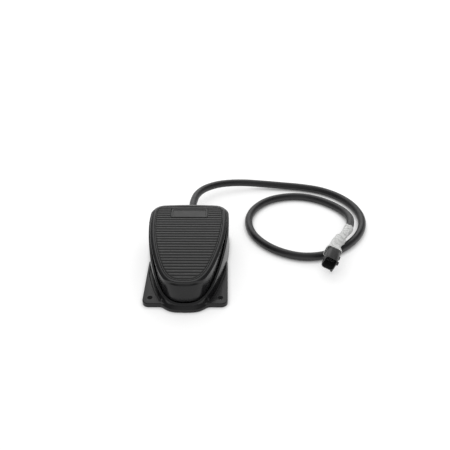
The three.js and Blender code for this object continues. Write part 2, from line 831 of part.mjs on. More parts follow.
// The outline of the ribs in y and z: round-topped ribs at one pitch, on a surface that follows the treadle.
function ribProfile() {
  const high = farY + padOffset - padMargin;
  const low = tipY - padOffset + padMargin;
  const count = Math.floor((high - low) / ribPitch);
  const start = (high + low - count * ribPitch) / 2;
  const base = (y) => topHeight(y) - clearance;
  const points = [];
  for (let i = 0; i < count; i++) {
    const y = start + ribPitch * i;
    const at = (share, height) => points.push(new THREE.Vector2(y + share * ribPitch, base(y) + height));
    at(0.5 - ribTopShare, 0);
    at(0.5 - ribTopShare * 0.72, 0.72 * ribHeight);
    at(0.5 - ribTopShare * 0.3, ribHeight);
    at(0.5 + ribTopShare * 0.3, ribHeight);
    at(0.5 + ribTopShare * 0.72, 0.72 * ribHeight);
    at(0.5 + ribTopShare, 0);
  }
  const under = points.map(({ x: y }) => new THREE.Vector2(y, base(y) - ribRoot)).filter((_, i) => i % 6 === 0);
  under.push(new THREE.Vector2(points.at(-1).x, base(points.at(-1).x) - ribRoot));
  return new THREE.Shape([...points, ...under.reverse()]);
}

const plateFloor = (y) => topHeight(y) - clearance - plateSink;

function treadPad() {
  const sheet = loft([
    ring(padOffset, (y) => recessHeight(y) + clearance),
    ring(padOffset, (y) => topHeight(y) - clearance - padEdge),
    ring(padOffset - padEdge, (y) => topHeight(y) - clearance),
  ]);
  const halfWidth = Math.max(...halfOutline(0).map(([x]) => x));
  const field = loft([ring(padOffset - padMargin, 0), ring(padOffset - padMargin, 2 * farHeight)]);
  const ribs = common(prismX(ribProfile(), -halfWidth, halfWidth), field);
  return cut(join(sheet, ribs), platePocket());
}

// The sloping block that the plate lies in: a rectangle in plan, from the pad's surface up.
function slopingBlock(halfX, lowY, highY, low, high) {
  const shape = new THREE.Shape([
    new THREE.Vector2(lowY, low(lowY)),
    new THREE.Vector2(highY, low(highY)),
    new THREE.Vector2(highY, high(highY)),
    new THREE.Vector2(lowY, high(lowY)),
  ]);
  return prismX(shape, -halfX, halfX);
}

function platePocket() {
  return slopingBlock(
    plateWidth / 2 + clearance,
    plateLow - clearance,
    plateHigh + clearance,
    plateFloor,
    (y) => topHeight(y) + 5,
  );
}

// A bare plate with a bevelled frame round a flat field.
function namePlate() {
  const low = (y) => plateFloor(y) + clearance;
  const high = (y) => low(y) + plateThickness;
  const corner = (halfX, y, z) => [halfX, y, z(y)];
  const layers = [
    [0, low],
    [0, (y) => low(y) + plateThickness * 0.5],
    [plateBevel * 0.4, high],
    [plateBevel * 0.7, high],
    [plateBevel, (y) => high(y) - 0.5],
  ];
  const loops = layers.map(([inset, z]) => {
    const halfX = plateWidth / 2 - inset;
    return [
      corner(halfX, plateHigh - inset, z),
      corner(halfX, plateLow + inset, z),
      corner(-halfX, plateLow + inset, z),
      corner(-halfX, plateHigh - inset, z),
    ];
  });
  return loft(loops);
}

// ---- The switch ----

function switchBody() {
  const block = box([-switchWidth / 2, -switchDepth / 2, switchBottom], [switchWidth / 2, switchDepth / 2, switchTop - 3]);
  const neck = box([-7, -switchDepth / 2 + 1, switchBottom], [7, switchDepth / 2 - 1, switchTop]);
  const bore = cylinder(plungerDiameter / 2 + holeClearance, plungerTop - plungerLength - travelAt(0) - clearance, switchTop + 1);
  const holes = [-1, 1].map((side) =>
    alongY(cylinder(screwHole, -switchDepth, switchDepth, 16)).translate(side * switchScrewX, 0, switchScrewZ),
  );
  return cut(join(block, neck), bore, ...holes);
}

function switchPlunger() {
  const r = plungerDiameter / 2;
  const low = plungerTop - plungerLength;
  return turned([[0, low], [r, low], [r, plungerTop - 1], [r - 1, plungerTop], [0, plungerTop]], 20);
}

const bracketY = switchDepth / 2 + clearance;
const bracketLow = bracketBossTop + clearance;

function switchBracket() {
  const half = switchWidth / 2;
  const wall = box([-half, bracketY, bracketLow], [half, bracketY + bracketThickness, switchTop - 4]);
  const foot = box([-half, bracketY, bracketLow], [half, bracketY + bracketDepth, bracketLow + bracketThickness]);
  const wallHoles = [-1, 1].map((side) =>
    alongY(cylinder(screwHole, 0, 2 * switchDepth, 16)).translate(side * switchScrewX, 0, switchScrewZ),
  );
  const footHoles = [-1, 1].map((side) =>
    cylinder(screwHole, 0, 2 * bracketLow, 16).translate(side * bracketBossX, bracketBossY, 0),
  );
  return cut(join(wall, foot), ...wallHoles, ...footHoles);
}

// ---- The cord's gland and the wires in the base ----

const washerFrom = rearWallOutside + clearance;
const flangeFrom = washerFrom + glandWasher + clearance;
const flangeTo = flangeFrom + glandFlangeLength;
const capFrom = flangeTo + clearance;
const capTo = capFrom + glandCapLength;
const cordBore = cordDiameter / 2 + clearance;
const nutTo = rearWallInside - clearance;

const onCordAxis = (geometry) => alongY(geometry).translate(0, 0, cordZ);

function glandBody() {
  const thread = glandThread / 2;
  const sleeve = tube(thread, cordBore, nutTo - glandNutLength - 1.5, flangeTo + 4);
  const flange = prism(hexagon(glandFlange), flangeFrom, flangeTo);
  return join(onCordAxis(sleeve), cut(onCordAxis(flange), onCordAxis(cylinder(cordBore, 0, 2 * farY))));
}

function glandLocknut() {
  const nut = prism(hexagon(glandFlange - 1), nutTo - glandNutLength, nutTo);
  return cut(onCordAxis(nut), onCordAxis(cylinder(glandThread / 2 + holeClearance, 0, 2 * farY)));
}

function glandCap() {
  const thread = glandThread / 2 + holeClearance;
  const outer = glandFlange / 2;
  return onCordAxis(
    turned([
      [thread, capFrom],
      [outer - 0.4, capFrom],
      [outer, capFrom + 0.6],
      [outer, capFrom + glandCapLength * 0.5],
      [outer - 1.2, capFrom + glandCapLength * 0.75],
      [outer - 3.4, capTo - 0.4],
      [cordBore + 0.6, capTo],
      [cordBore, capTo - 0.6],
      [cordBore, capTo - 3],
      [thread, capTo - 5],
      [thread, capFrom],
    ]),
  );
}

function glandSeal() {
  const outer = glandThread / 2 - clearance;
  return onCordAxis(tube(outer, cordBore, flangeTo + 4 + clearance, capTo - 5 - clearance));
}

function glandWasherRing() {
  const bore = glandThread / 2 + holeClearance;
  return onCordAxis(tube(glandFlange / 2 - 0.5, bore, washerFrom, washerFrom + glandWasher));
}

const cordStart = capTo + clearance;
function cordTail() {
  return onCordAxis(cylinder(cordDiameter / 2, cordTailStart, capTo, 16));
}

// A line beside another one, to its left and above it.
class Beside extends THREE.Curve {
  constructor(path, left, above) {
    super();
    Object.assign(this, { path, left, above });
  }
  getPoint(t, target = new THREE.Vector3()) {
    const tangent = this.path.getTangentAt(t);
    const side = new THREE.Vector3(-tangent.y, tangent.x, 0).normalize();
    const over = new THREE.Vector3().crossVectors(tangent, side);
    return target.copy(this.path.getPointAt(t)).addScaledVector(side, this.left).addScaledVector(over, this.above);
  }
}

// The middle of the flat row of wires from the switch's side to the end of the cord, under the shaft.
const wireRow = curveThrough([
  [switchWidth / 2 + clearance, 0, switchBottom + 3],
  [switchWidth / 2 + 4, 0.3, switchBottom + 3],
  [22.5, 5, switchBottom + 2.5],
  [23, 16, switchBottom + 2],
  [20, pivotY - 28, switchBottom + 1.5],
  [12, pivotY - 16, switchBottom + 1],
  [3, pivotY - 7, switchBottom + 1],
  [0, pivotY, switchBottom + 2],
  [0, cordTailStart - 3, cordZ - 1],
  [0, cordTailStart - clearance, cordZ],
]);

function switchWire(index) {
  const shift = (index - 1.5) * wireSpacing;
  return swept(new Beside(wireRow, shift, 0), wireDiameter / 2, 5, 12);
}

// ---- The free cord, its sleeves and the connector ----

// The line of the cord and its sleeves, from the gland's mouth to where it meets the connector's axis.
const cordRoute = [
  [0, cordStart, cordZ],
  [0.2, 111.2, 17],
  [1, 125.2, 16.8],
  [5, 144.2, 16.2],
  [15, 161.2, 15.2],
  [33, 175.2, 13.8],
  [53, 182.7, 12.2],
  [76, 186.5, 10.2],
  [103, 186.8, 8],
  [131, 185.2, 6.3],
  [159, 181.8, 5.4],
  [186.4, 173, 5.3],
  [209, 156.7, 5.3],
  [224.5, 135.2, 5.3],
  [231.8, 111.7, 5.3],
  [231.5, 90.2, 5.3],
  [224.7, 69.2, 5.3],
  [210.8, 48.5, 5.3],
  [190, 30, 5.3],
  [165.5, 18.5, 5.3],
  [141, 16.8, 5.3],
  [117.6, 24.8, 5.3],
  [98.5, 39.2, 5.3],
  [84.5, 58.7, 5.3],
  [77.9, 80.2, 5.3],
  [78.4, 102.7, 5.3],
  [88, 125.5, 5.3],
  [107, 144.8, 5.3],
  [131, 154.7, 5.3],
  [156, 155.7, 5.3],
  [179.8, 147.2, 5.3],
  [199, 132.2, 5.4],
  [211, 115.7, 6],
  [215.5, 99.2, 7.6],
  [214.3, 86.5, 9.5],
  [211.2, 74.8, 11.5],
  [208.4, 67.8, 12.8],
  [205.4, 60.9, 14.2],
  [198.1, 47.2, 17.1],
  [191.7, 36.1, 18.9],
];

// The connector's axis, from its mouth to the rear.
const connectorTurn = new THREE.Euler(
  radians(connectorPitch),
  radians(connectorRoll),
  radians(connectorHeading),
  "ZXY",
);
const connectorAxis = new THREE.Vector3(0, 1, 0).applyEuler(connectorTurn);
const behindMouth = (distance) =>
  new THREE.Vector3(...connectorMouth).addScaledVector(connectorAxis, distance).toArray();

const leadCurve = curveThrough([
  ...cordRoute,
  behindMouth(connectorBarrel + 16),
  behindMouth(connectorBarrel + 8),
  behindMouth(connectorBarrel),
]);
leadCurve.arcLengthDivisions = 1200;
const leadLength = leadCurve.getLength();

// A stretch of the line, between two distances in front of the connector's barrel.
class Stretch extends THREE.Curve {
  constructor(from, to) {
    super();
    Object.assign(this, { from, to });
  }
  getPoint(t, target) {
    const distance = this.from + (this.to - this.from) * t;
    return leadCurve.getPointAt(THREE.MathUtils.clamp(1 - distance / leadLength, 0, 1), target);
  }
}

// A place in the connector's own x and z, as distances to the left of the line and above it, for a line that
// runs to the connector and for one that runs away from it.
function besideLead([x, z]) {
  const [sine, cosine] = [Math.sin(radians(connectorRoll)), Math.cos(radians(connectorRoll))];
  return [x * cosine + z * sine, z * cosine - x * sine];
}
function besideRear(place) {
  const [left, above] = besideLead(place);
  return [-left, above];
}

const jacketEnd = sleeveEnd - jacketInSleeve;
function freeCord() {
  return swept(new Stretch(leadLength, jacketEnd), cordDiameter / 2, 8, 44);
}

// The boot's outline in the connector's own x and z at a distance behind the barrel: a rounded rectangle
// round the barrel's end, and a circle from the neck on.
function bootOutline(distance, inset) {
  const [halfX, halfZ] = bootMouth.map((half) => half - inset);
  const mouth = roundedRectangle(halfX, halfZ, bootMouthCorner - inset).getSpacedPoints(20).slice(0, -1);
  const squareness = 1 - THREE.MathUtils.smoothstep(distance, 0, bootNeck);
  const along = Math.max(0, distance - bootNeck) / (sleeveStep - bootNeck);
  const round = THREE.MathUtils.lerp(bootNeckRadius, bootStepRadius, along) - inset;
  return mouth.map((point) => {
    const circle = point.clone().setLength(round);
    return circle.lerp(point, squareness).add(new THREE.Vector2(-bootShift * squareness, 0));
  });
}

function sleeveFront() {
  const distances = [clearance, 4, 8, bootNeck, 19, 26, sleeveStep - 6, sleeveStep];
  const line = new Stretch(sleeveStep, 0);
  const ringAt = (distance, bore) => {
    const wall = THREE.MathUtils.lerp(bootLipWall, bootWall, Math.min(1, distance / bootNeck));
    const t = 1 - distance / sleeveStep;
    return bootOutline(distance, bore ? wall : 0).map(({ x, y: z }) =>
      new Beside(line, ...besideLead([x, z])).getPoint(t).toArray(),
    );
  };
  const outside = distances.map((distance) => ringAt(distance, false));
  const inside = distances.toReversed().map((distance) => ringAt(distance, true));
  return hose([...outside, ...inside]);
}

function sleeveRear() {
  const line = new Stretch(sleeveEnd, sleeveStep - sleeveOverlap);
  return swept(line, sleeveRearRadius, 12, 6, sleeveRearRadius - sleeveWall);
}

// The wires between the seal and the jacket's end. A pin's place turns with the connector.
function connectorWire(place) {
  const line = new Stretch(connectorTail + clearance + sealLength - 1, jacketEnd - clearance);
  return swept(new Beside(line, ...besideRear(place)), wireDiameter / 2, 5, 6);
}

// In the connector's own frame the mouth is at the origin and opens along -Y.
const connectorInner = connectorBarrel - connectorFloor;
const pinPlaces = [-1, 1].flatMap((sx) => [-1, 1].map((sz) => [(sx * pinPitchX) / 2, (sz * pinPitchZ) / 2]));

function connectorHousing() {
  const [halfX, halfZ] = [connectorWidth / 2, connectorHeight / 2];
  const along = (geometry) => geometry.rotateX(Math.PI / 2);
  const barrel = along(prism(roundedRectangle(halfX, halfZ, connectorCorner), -connectorBarrel, 0, 3));
  const wall = connectorWall;
  const hollow = along(
    prism(roundedRectangle(halfX - wall, halfZ - wall, connectorCorner - wall), -connectorInner, 1, 3),
  );
  const tail = along(cylinder(connectorTailRadius, -connectorBarrel - connectorTail, -connectorBarrel + 1));
  const guides = [0, guidePitch].map((from) =>
    box(
      [halfX - wall, from, guideHeight - guideWidth / 2],
      [halfX + guideProud, from + guideLength, guideHeight + guideWidth / 2],
    ),
  );
  const key = box([halfX - keyWidth, 0, -halfZ - keyProud], [halfX, keyLength, -halfZ + connectorCorner]);
  const bores = pinPlaces.map(([x, z]) =>
    along(cylinder(pinDiameter / 2 + holeClearance, -connectorBarrel - connectorTail - 1, 0, 12)).translate(x, 0, z),
  );
  return cut(join(barrel, tail, key, ...guides), hollow, ...bores);
}

// The lock behind the pins, against the floor of the barrel.
function connectorWedge() {
  const half = [connectorWidth / 2 - connectorWall - clearance, connectorHeight / 2 - connectorWall - clearance];
  const shape = roundedRectangle(half[0], half[1], connectorCorner - connectorWall - clearance);
  const high = connectorInner - clearance;
  const plate = prism(shape, -high, -(high - wedgeThickness)).rotateX(Math.PI / 2);
  const holes = pinPlaces.map(([x, z]) =>
    cylinder(pinDiameter / 2 + holeClearance, -connectorBarrel, 0, 12).rotateX(Math.PI / 2).translate(x, 0, z),
  );
  return cut(plate, ...holes);
}

function contactPin([x, z]) {
  const r = pinDiameter / 2;
  const tip = connectorInner - wedgeThickness - pinLength;
  const end = connectorBarrel + connectorTail - clearance;
  const profile = [[0, -end], [r, -end], [r, -tip - 0.8], [r * 0.5, -tip], [0, -tip]];
  return turned(profile, 10).rotateX(Math.PI / 2).translate(x, 0, z);
}

// A ribbed rubber seal behind the connector's tail, where the wires go in.
const sealFrom = connectorBarrel + connectorTail + clearance;
function connectorSeal() {
  const r = connectorTailRadius - 0.4;
  const ribs = [[r, 0], [r - 0.6, 0.25], [r, 0.5], [r - 0.6, 0.75], [r, 1]];
  const rings = ribs.map(([x, t]) => [x, (t - 1) * sealLength - sealFrom]);
  const profile = [[0, -sealFrom - sealLength], ...rings, [0, -sealFrom]];
  const body = turned(profile, 12).rotateX(Math.PI / 2);
  const holes = pinPlaces.map(([x, z]) =>
    cylinder(wireDiameter / 2 + holeClearance, -2 * sealFrom, 0, 8).rotateX(Math.PI / 2).translate(x, 0, z),
  );
  return cut(body, ...holes);
}

// ---- Assembly ----

const footSwitch = new THREE.Group();

function add(group, name, shape, material, position = [0, 0, 0]) {
  const mesh = meshOf(name, shape, material);
  mesh.position.set(...position);
  group.add(mesh);
  return mesh;
}

const base = new THREE.Group();
add(base, "base_housing", baseHousing(), blackPlastic);
add(base, "bottom_cover", bottomCover(), blackPlastic);
add(base, "cover_gasket", coverGasket(), softRubber);
coverScrewPlaces.forEach(([x, y], i) => add(base, `cover_screw_${i + 1}`, coverScrew(), steel, [x, y, 0]));
for (const [side, sign] of [["left", -1], ["right", 1]]) {
  const front = [sign * frontBumperX, frontBumperY, 0];
  const rear = [sign * rearBumperX, rearBumperY, 0];
  add(base, `front_bumper_${side}`, bumper(frontBumperRadius, frontBumperTop), softRubber, front);
  add(base, `rear_bumper_${side}`, bumper(rearBumperRadius, rearBumperTop), softRubber, rear);
  add(base, `retaining_clip_${side}`, retainingClip(sign), springSteel);
}
add(base, "pivot_shaft", pivotShaft(), steel);
add(base, "return_spring", returnSpring(), springSteel);
add(base, "switch_body", switchBody(), switchPlastic);
add(base, "switch_bracket", switchBracket(), steel);
for (const [side, sign] of [["left", -1], ["right", 1]]) {
  const footTop = bracketLow + bracketThickness + clearance;
  const bracketScrew = cheeseScrew(footTop - coverThickness - 2 * clearance);
  add(base, `bracket_screw_${side}`, bracketScrew, steel, [sign * bracketBossX, bracketBossY, footTop]);
  const switchScrew = add(base, `switch_screw_${side}`, cheeseScrew(switchDepth + 2.2), steel);
  switchScrew.position.set(sign * switchScrewX, -switchDepth / 2 - clearance, switchScrewZ);
  switchScrew.rotation.x = Math.PI / 2;
}
add(base, "gland_body", glandBody(), blackPlastic);
add(base, "gland_locknut", glandLocknut(), blackPlastic);
add(base, "gland_cap", glandCap(), blackPlastic);
add(base, "gland_seal", glandSeal(), softRubber);
add(base, "gland_washer", glandWasherRing(), softRubber);
add(base, "cord_tail", cordTail(), cordRubber);
wireColors.forEach((color, i) => add(base, `switch_wire_${i + 1}`, switchWire(i), color));

const treadle = new THREE.Group();
add(treadle, "treadle_shell", treadleShell(), blackPlastic);
add(treadle, "tread_pad", treadPad(), ribbedRubber);
add(treadle, "name_plate", namePlate(), platePlastic);
add(treadle, "hinge_bush_left", hingeBush(-1), whiteNylon);
add(treadle, "hinge_bush_right", hingeBush(1), whiteNylon);
add(treadle, "actuator_screw", actuatorScrew(), steel);
add(treadle, "actuator_nut", actuatorNut(), steel);

const plunger = new THREE.Group();
add(plunger, "switch_plunger", switchPlunger(), whiteNylon);

const lead = new THREE.Group();
add(lead, "cord", freeCord(), cordRubber);
add(lead, "sleeve_front", sleeveFront(), greySleeve);
add(lead, "sleeve_rear", sleeveRear(), greySleeve);

const connector = new THREE.Group();
connector.position.set(...connectorMouth);
connector.rotation.copy(connectorTurn);
add(connector, "connector_housing", connectorHousing(), blackPlastic);
add(connector, "connector_wedge", connectorWedge(), blackPlastic);
add(connector, "connector_seal", connectorSeal(), softRubber);
pinPlaces.forEach((place, i) => {
  add(connector, `contact_pin_${i + 1}`, contactPin(place), brass);
  add(lead, `connector_wire_${i + 1}`, connectorWire(place), wireColors[i]);
});
lead.add(connector);

footSwitch.add(base, treadle, plunger, lead);

export default footSwitch;
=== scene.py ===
# Foot switch with a rubber cord and a sealed connector: camera, stage, smooth pieces and finishes.
# Metres, +Z up, +Y towards the hinge and the cord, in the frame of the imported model.
import math

import bmesh
import bpy
from mathutils import Matrix, Vector


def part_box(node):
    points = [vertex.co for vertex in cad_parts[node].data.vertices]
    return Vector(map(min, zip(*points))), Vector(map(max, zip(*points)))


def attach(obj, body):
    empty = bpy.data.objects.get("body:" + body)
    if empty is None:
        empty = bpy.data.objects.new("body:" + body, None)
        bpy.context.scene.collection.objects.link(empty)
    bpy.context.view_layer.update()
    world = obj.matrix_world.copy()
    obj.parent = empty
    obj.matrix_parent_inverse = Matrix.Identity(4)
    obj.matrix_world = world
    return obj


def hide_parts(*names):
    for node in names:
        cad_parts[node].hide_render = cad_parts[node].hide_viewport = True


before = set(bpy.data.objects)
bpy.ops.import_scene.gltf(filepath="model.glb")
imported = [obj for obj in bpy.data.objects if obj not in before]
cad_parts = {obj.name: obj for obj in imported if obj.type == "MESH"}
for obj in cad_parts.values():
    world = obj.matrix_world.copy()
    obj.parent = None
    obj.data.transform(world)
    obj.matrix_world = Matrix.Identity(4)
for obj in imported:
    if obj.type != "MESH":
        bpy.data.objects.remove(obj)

bl_info = {
    "name": "Foot Switch",
    "version": (1, 0, 0),
    "blender": (4, 5, 0),
    "location": "3D View > Sidebar > Foot Switch",
    "description": "Builds the pieces and the finishes of a foot switch on its packed model",
    "category": "Object",
}


# ---- Sizes and colours a user would change ----


def linear(hex_colour):
    """An sRGB hex colour as linear red, green, blue and alpha."""
    channels = [int(hex_colour[i : i + 2], 16) / 255 for i in (0, 2, 4)]
    return tuple(c / 12.92 if c <= 0.04045 else ((c + 0.055) / 1.055) ** 2.4 for c in channels) + (1.0,)


def length(name, description, default):
    return bpy.props.FloatProperty(
        name=name,
        description=description,
        default=default,
        min=0.0,
        precision=5,
        subtype="DISTANCE",
        unit="LENGTH",
    )


def colour(name, description, hex_colour):
    return bpy.props.FloatVectorProperty(
        name=name,
        description=description,
        default=linear(hex_colour),
        size=4,
        min=0.0,
        max=1.0,
        subtype="COLOR",
    )


class TreadleSettings(bpy.types.PropertyGroup):
    tip_height: length("Tip height", "Top of the treadle at its tip", 0.0368)
    far_height: length("Far height", "Top of the treadle at its far edge", 0.0456)
    crown: length("Crown", "Rise of the top between its ends", 0.002)
    lip_height: length("Lip height", "Height of the edge that overhangs the skirt", 0.003)
    rim_width: length("Rim width", "Smooth rim round the ribbed pad", 0.0052)
    rim_drop: length("Rim drop", "How far the rim falls towards the lip's edge", 0.0013)
    rib_pitch: length("Rib pitch", "Distance from rib to rib", 0.00466)
    rib_height: length("Rib height", "Height of the ribs over the pad", 0.0012)
    plate_width: length("Plate width", "Width of the bare plate", 0.046)
    plate_length: length("Plate length", "Length of the bare plate along the treadle", 0.0186)
    plate_frame: length("Plate frame", "Width of the plate's raised frame", 0.0026)


class BaseSettings(bpy.types.PropertyGroup):
    rim_tip_height: length("Rim height", "Top of the base's wall at the tip", 0.008)
    rim_dip: length("Rim dip", "How much the wall sinks towards the tip, besides its slope", 0.0032)
    floor: length("Floor", "Thickness of the base's floor", 0.003)
    ear_half_width: length("Ear reach", "From the middle to the side of an ear", 0.0486)
    ear_front: length("Ear front", "From the middle to the front edge of the ears", 0.06885)
    ear_thickness: length("Ear thickness", "Thickness of the ears", 0.0054)
    ear_hole: length("Ear hole", "Diameter of the holes for the floor screws", 0.006)
    fillet: length("Ear fillet", "Radius where an ear's front edge meets the bulge", 0.004)


class CordSettings(bpy.types.PropertyGroup):
    diameter: length("Cord diameter", "Outside diameter of the rubber jacket", 0.0104)
    boot_neck: length("Boot neck", "Outside radius of the boot where it turns round", 0.0079)
    boot_step: length("Boot step", "Outside radius of the boot at its far end", 0.0076)
    sleeve_radius: length("Sleeve radius", "Outside radius of the rear sleeve", 0.0064)
    connector_width: length("Connector width", "Width of the connector's barrel", 0.016)
    connector_height: length("Connector height", "Height of the connector's barrel", 0.0202)
    connector_barrel: length("Connector barrel", "Length of the connector's barrel", 0.0186)
    connector_wall: length("Connector wall", "Wall of the connector's mouth", 0.0012)


class FinishSettings(bpy.types.PropertyGroup):
    housing: colour("Housing", "Moulded nylon of the base and the treadle", "19191a")
    pad: colour("Pad", "Ribbed rubber of the pad", "232323")
    plate: colour("Plate", "Moulded plate on the pad", "1f1f1f")
    jacket: colour("Jacket", "Rubber jacket of the cord", "18181a")
    sleeve: colour("Sleeve", "Translucent sleeve behind the connector", "e3e4e2")
    connector: colour("Connector", "Moulded shell of the connector", "2e2e2e")


def settings():
    return bpy.context.scene.foot_switch_treadle, bpy.context.scene.foot_switch_base


# ---- The treadle's outline and the heights along it ----

# Arcs of the right half from the far edge round to the tip: radius, heading where it ends in degrees, steps.
FAR_EDGE, FAR_CORNER, SIDE, TAPER, TIP = 0.3946, 0.0159, 0.27567, 0.0843, 0.0299
HEADINGS = (87.7, 109.2, 119.2, 180.0)
BULGE, FOOT, RIM, CAVITY, SKIRT = 0.0057, 0.0032, 0.0025, -0.0002, -0.001  # offsets from the outline
SHOULDER = 0.002  # how much further the bulge reaches at both sides of the middle
BLUNT = 0.0013  # how much flatter the tip is than its arc
PIVOT = Vector((0.0, 0.058, 0.020))
PRESS_ANGLE = math.radians(2.4)
SPRING_Y = -0.034
EAR_HOLE_X, EAR_HOLE_Y = 0.0402, -0.05885
SCREW_HOLE_Z = 0.01  # how deep the cover's screws go
CORD_START, CORD_Z = 0.0993, 0.017  # where the cord leaves the gland
ABOVE = 0.06  # a height over everything, for the tools that cut


def outline():
    """Points (x, y, heading) of the right half, from the far edge's middle to the tip."""
    headings = [math.radians(h) for h in HEADINGS]
    width = FAR_CORNER * math.sin(headings[0])
    for radius, start, end in zip((SIDE, TAPER, TIP), headings, headings[1:]):
        width += radius * (math.sin(end) - math.sin(start))
    far_end = math.asin(-width / (FAR_EDGE - FAR_CORNER))
    ends = [far_end, *headings]
    arcs = list(zip((FAR_EDGE, FAR_CORNER, SIDE, TAPER, TIP), [0.0, *ends], ends, (6, 14, 12, 6, 16)))
    reach = sum(radius * (math.cos(start) - math.cos(end)) for radius, start, end, _ in arcs)
    points = [(0.0, (reach + BULGE - FOOT) / 2, 0.0)]
    for radius, start, end, steps in arcs:
        x, y, _ = points[-1]
        centre = (x - radius * math.sin(start), y - radius * math.cos(start))
        for k in range(1, steps + 1):
            heading = start + (end - start) * k / steps
            points.append(
                (centre[0] + radius * math.sin(heading), centre[1] + radius * math.cos(heading), heading)
            )
    points[-1] = (0.0, points[-1][1], math.pi)
    return points


OUTLINE = outline()
FAR_Y, TIP_Y = OUTLINE[0][1], OUTLINE[-1][1]
LENGTH = FAR_Y - TIP_Y


def smooth(share):
    share = min(max(share, 0.0), 1.0)
    return share * share * (3 - 2 * share)


def flattened(y, x):
    """How far the tip is drawn in from its arc."""
    return BLUNT * (1 - smooth(abs(x) / 0.017)) if y < 0 else 0.0


def value_at(value, y, x):
    return value(y, x) if callable(value) else value


def ring(offset, height):
    """A closed ring of points round the outline, grown by an offset, at a height. Both may follow y and x."""
    right = []
    for x, y, heading in OUTLINE:
        out = value_at(offset, y, x) - flattened(y, x)
        right.append((x + out * math.sin(heading), y + out * math.cos(heading)))
    right[0], right[-1] = (0.0, right[0][1]), (0.0, right[-1][1])
    left = [(-x, y) for x, y in reversed(right[1:-1])]
    return [Vector((x, y, value_at(height, y, x))) for x, y in right + left]


def top(y, _x=0.0):
    """Height of the treadle's top surface."""
    treadle = settings()[0]
    t = (y - TIP_Y) / LENGTH
    rise = (treadle.far_height - treadle.tip_height) * t
    return treadle.tip_height + rise + 4 * treadle.crown * t * (1 - t)


def rim(y, _x=0.0):
    """Height of the base's wall, which rises to the back under the treadle's lip."""
    treadle, base = settings()
    risen = base.rim_tip_height + base.rim_dip * (1 - math.exp((TIP_Y - y) / 0.009)) + 0.264 * (y - TIP_Y)
    return min(risen, top(y) - treadle.lip_height - 0.001)


def below(height, depth):
    """A height that keeps a distance under another one."""
    return lambda y, x: height(y) - depth


def half_width(y):
    """Half the outline's width at y."""
    points = ring(0.0, 0.0)[: len(OUTLINE)]
    for a, b in zip(points, points[1:]):
        if b.y <= y <= a.y and a.y > b.y:
            return a.x + (b.x - a.x) * (a.y - y) / (a.y - b.y)
    return 0.0


# ---- Modelling steps ----


def alone(piece):
    """Selects one piece and nothing else."""
    bpy.ops.object.select_all(action="DESELECT")
    piece.select_set(True)
    bpy.context.view_layer.objects.active = piece


def apply_modifier(piece, kind, **values):
    alone(piece)
    modifier = piece.modifiers.new(kind.title(), kind)
    for key, value in values.items():
        setattr(modifier, key, value)
    bpy.ops.object.modifier_apply(modifier=modifier.name)


def carve(piece, tool, operation="DIFFERENCE"):
    """Cuts the piece with a tool, joins the tool to it or keeps what both share. The tool is used up."""
    apply_modifier(piece, "BOOLEAN", operation=operation, object=tool, solver="EXACT")
    bpy.data.objects.remove(tool)


def across(mesh, points, flip):
    """Closes a ring by strips from its right side to its left side."""
    half = len(points) // 2
    for i in range(half):
        right, left = [points[i], points[i + 1]], [points[-i - 1], points[-i]]
        corners = [v for k, v in enumerate(right + left) if v not in (right + left)[:k]]
        mesh.faces.new(corners[::-1] if flip else corners)


def loft(name, rings, ends="across"):
    """A circle is placed on the first ring and extruded from ring to ring. Ends: across, flat or joined."""
    bpy.ops.object.select_all(action="DESELECT")
    bpy.ops.mesh.primitive_circle_add(vertices=len(rings[0]), radius=0.05, fill_type="NOTHING")
    piece = bpy.context.object
    piece.name = piece.data.name = name
    bpy.ops.object.mode_set(mode="EDIT")
    bpy.ops.mesh.select_mode(type="VERT")
    mesh = bmesh.from_edit_mesh(piece.data)
    place = mesh.verts.layers.int.new("place")
    mesh.verts.ensure_lookup_table()
    for i, v in enumerate(mesh.verts):
        v[place] = i
        v.co = rings[0][i]
    for points in rings[1:]:
        bpy.ops.mesh.extrude_edges_indiv()
        mesh = bmesh.from_edit_mesh(piece.data)
        place = mesh.verts.layers.int["place"]
        for v in mesh.verts:
            if v.select:
                v.co = points[v[place]]
    mesh.verts.ensure_lookup_table()
    last = sorted((v for v in mesh.verts if v.select), key=lambda v: v[place])
    first = list(mesh.verts[: len(rings[0])])
    if ends == "across":
        across(mesh, first, True)
        across(mesh, last, False)
    elif ends == "flat":
        mesh.faces.new(first)
        mesh.faces.new(last)
    else:
        for i, v in enumerate(last):
            j = (i + 1) % len(last)
            mesh.faces.new((v, last[j], first[j], first[i]))
    mesh.verts.layers.int.remove(place)
    bmesh.update_edit_mesh(piece.data)
    bpy.ops.mesh.select_all(action="SELECT")
    bpy.ops.mesh.normals_make_consistent(inside=False)
    bpy.ops.object.mode_set(mode="OBJECT")
    return piece


def turned(name, profile, centre, axis, sides=48, flute=None, ends="flat"):
    """A turned piece: rings of the profile's (radius, place on the axis) pairs. Flute changes a ring's radius."""
    turn = Vector(axis).to_track_quat("Z", "X")
    rings = []
    for radius, along in profile:
        points = []
        for i in range(sides):
            angle = 2 * math.pi * i / sides
            r = radius - (flute(angle, along) if flute else 0.0)
            points.append(Vector(centre) + turn @ Vector((r * math.cos(angle), r * math.sin(angle), along)))
        rings.append(points)
    return loft(name, rings, ends)


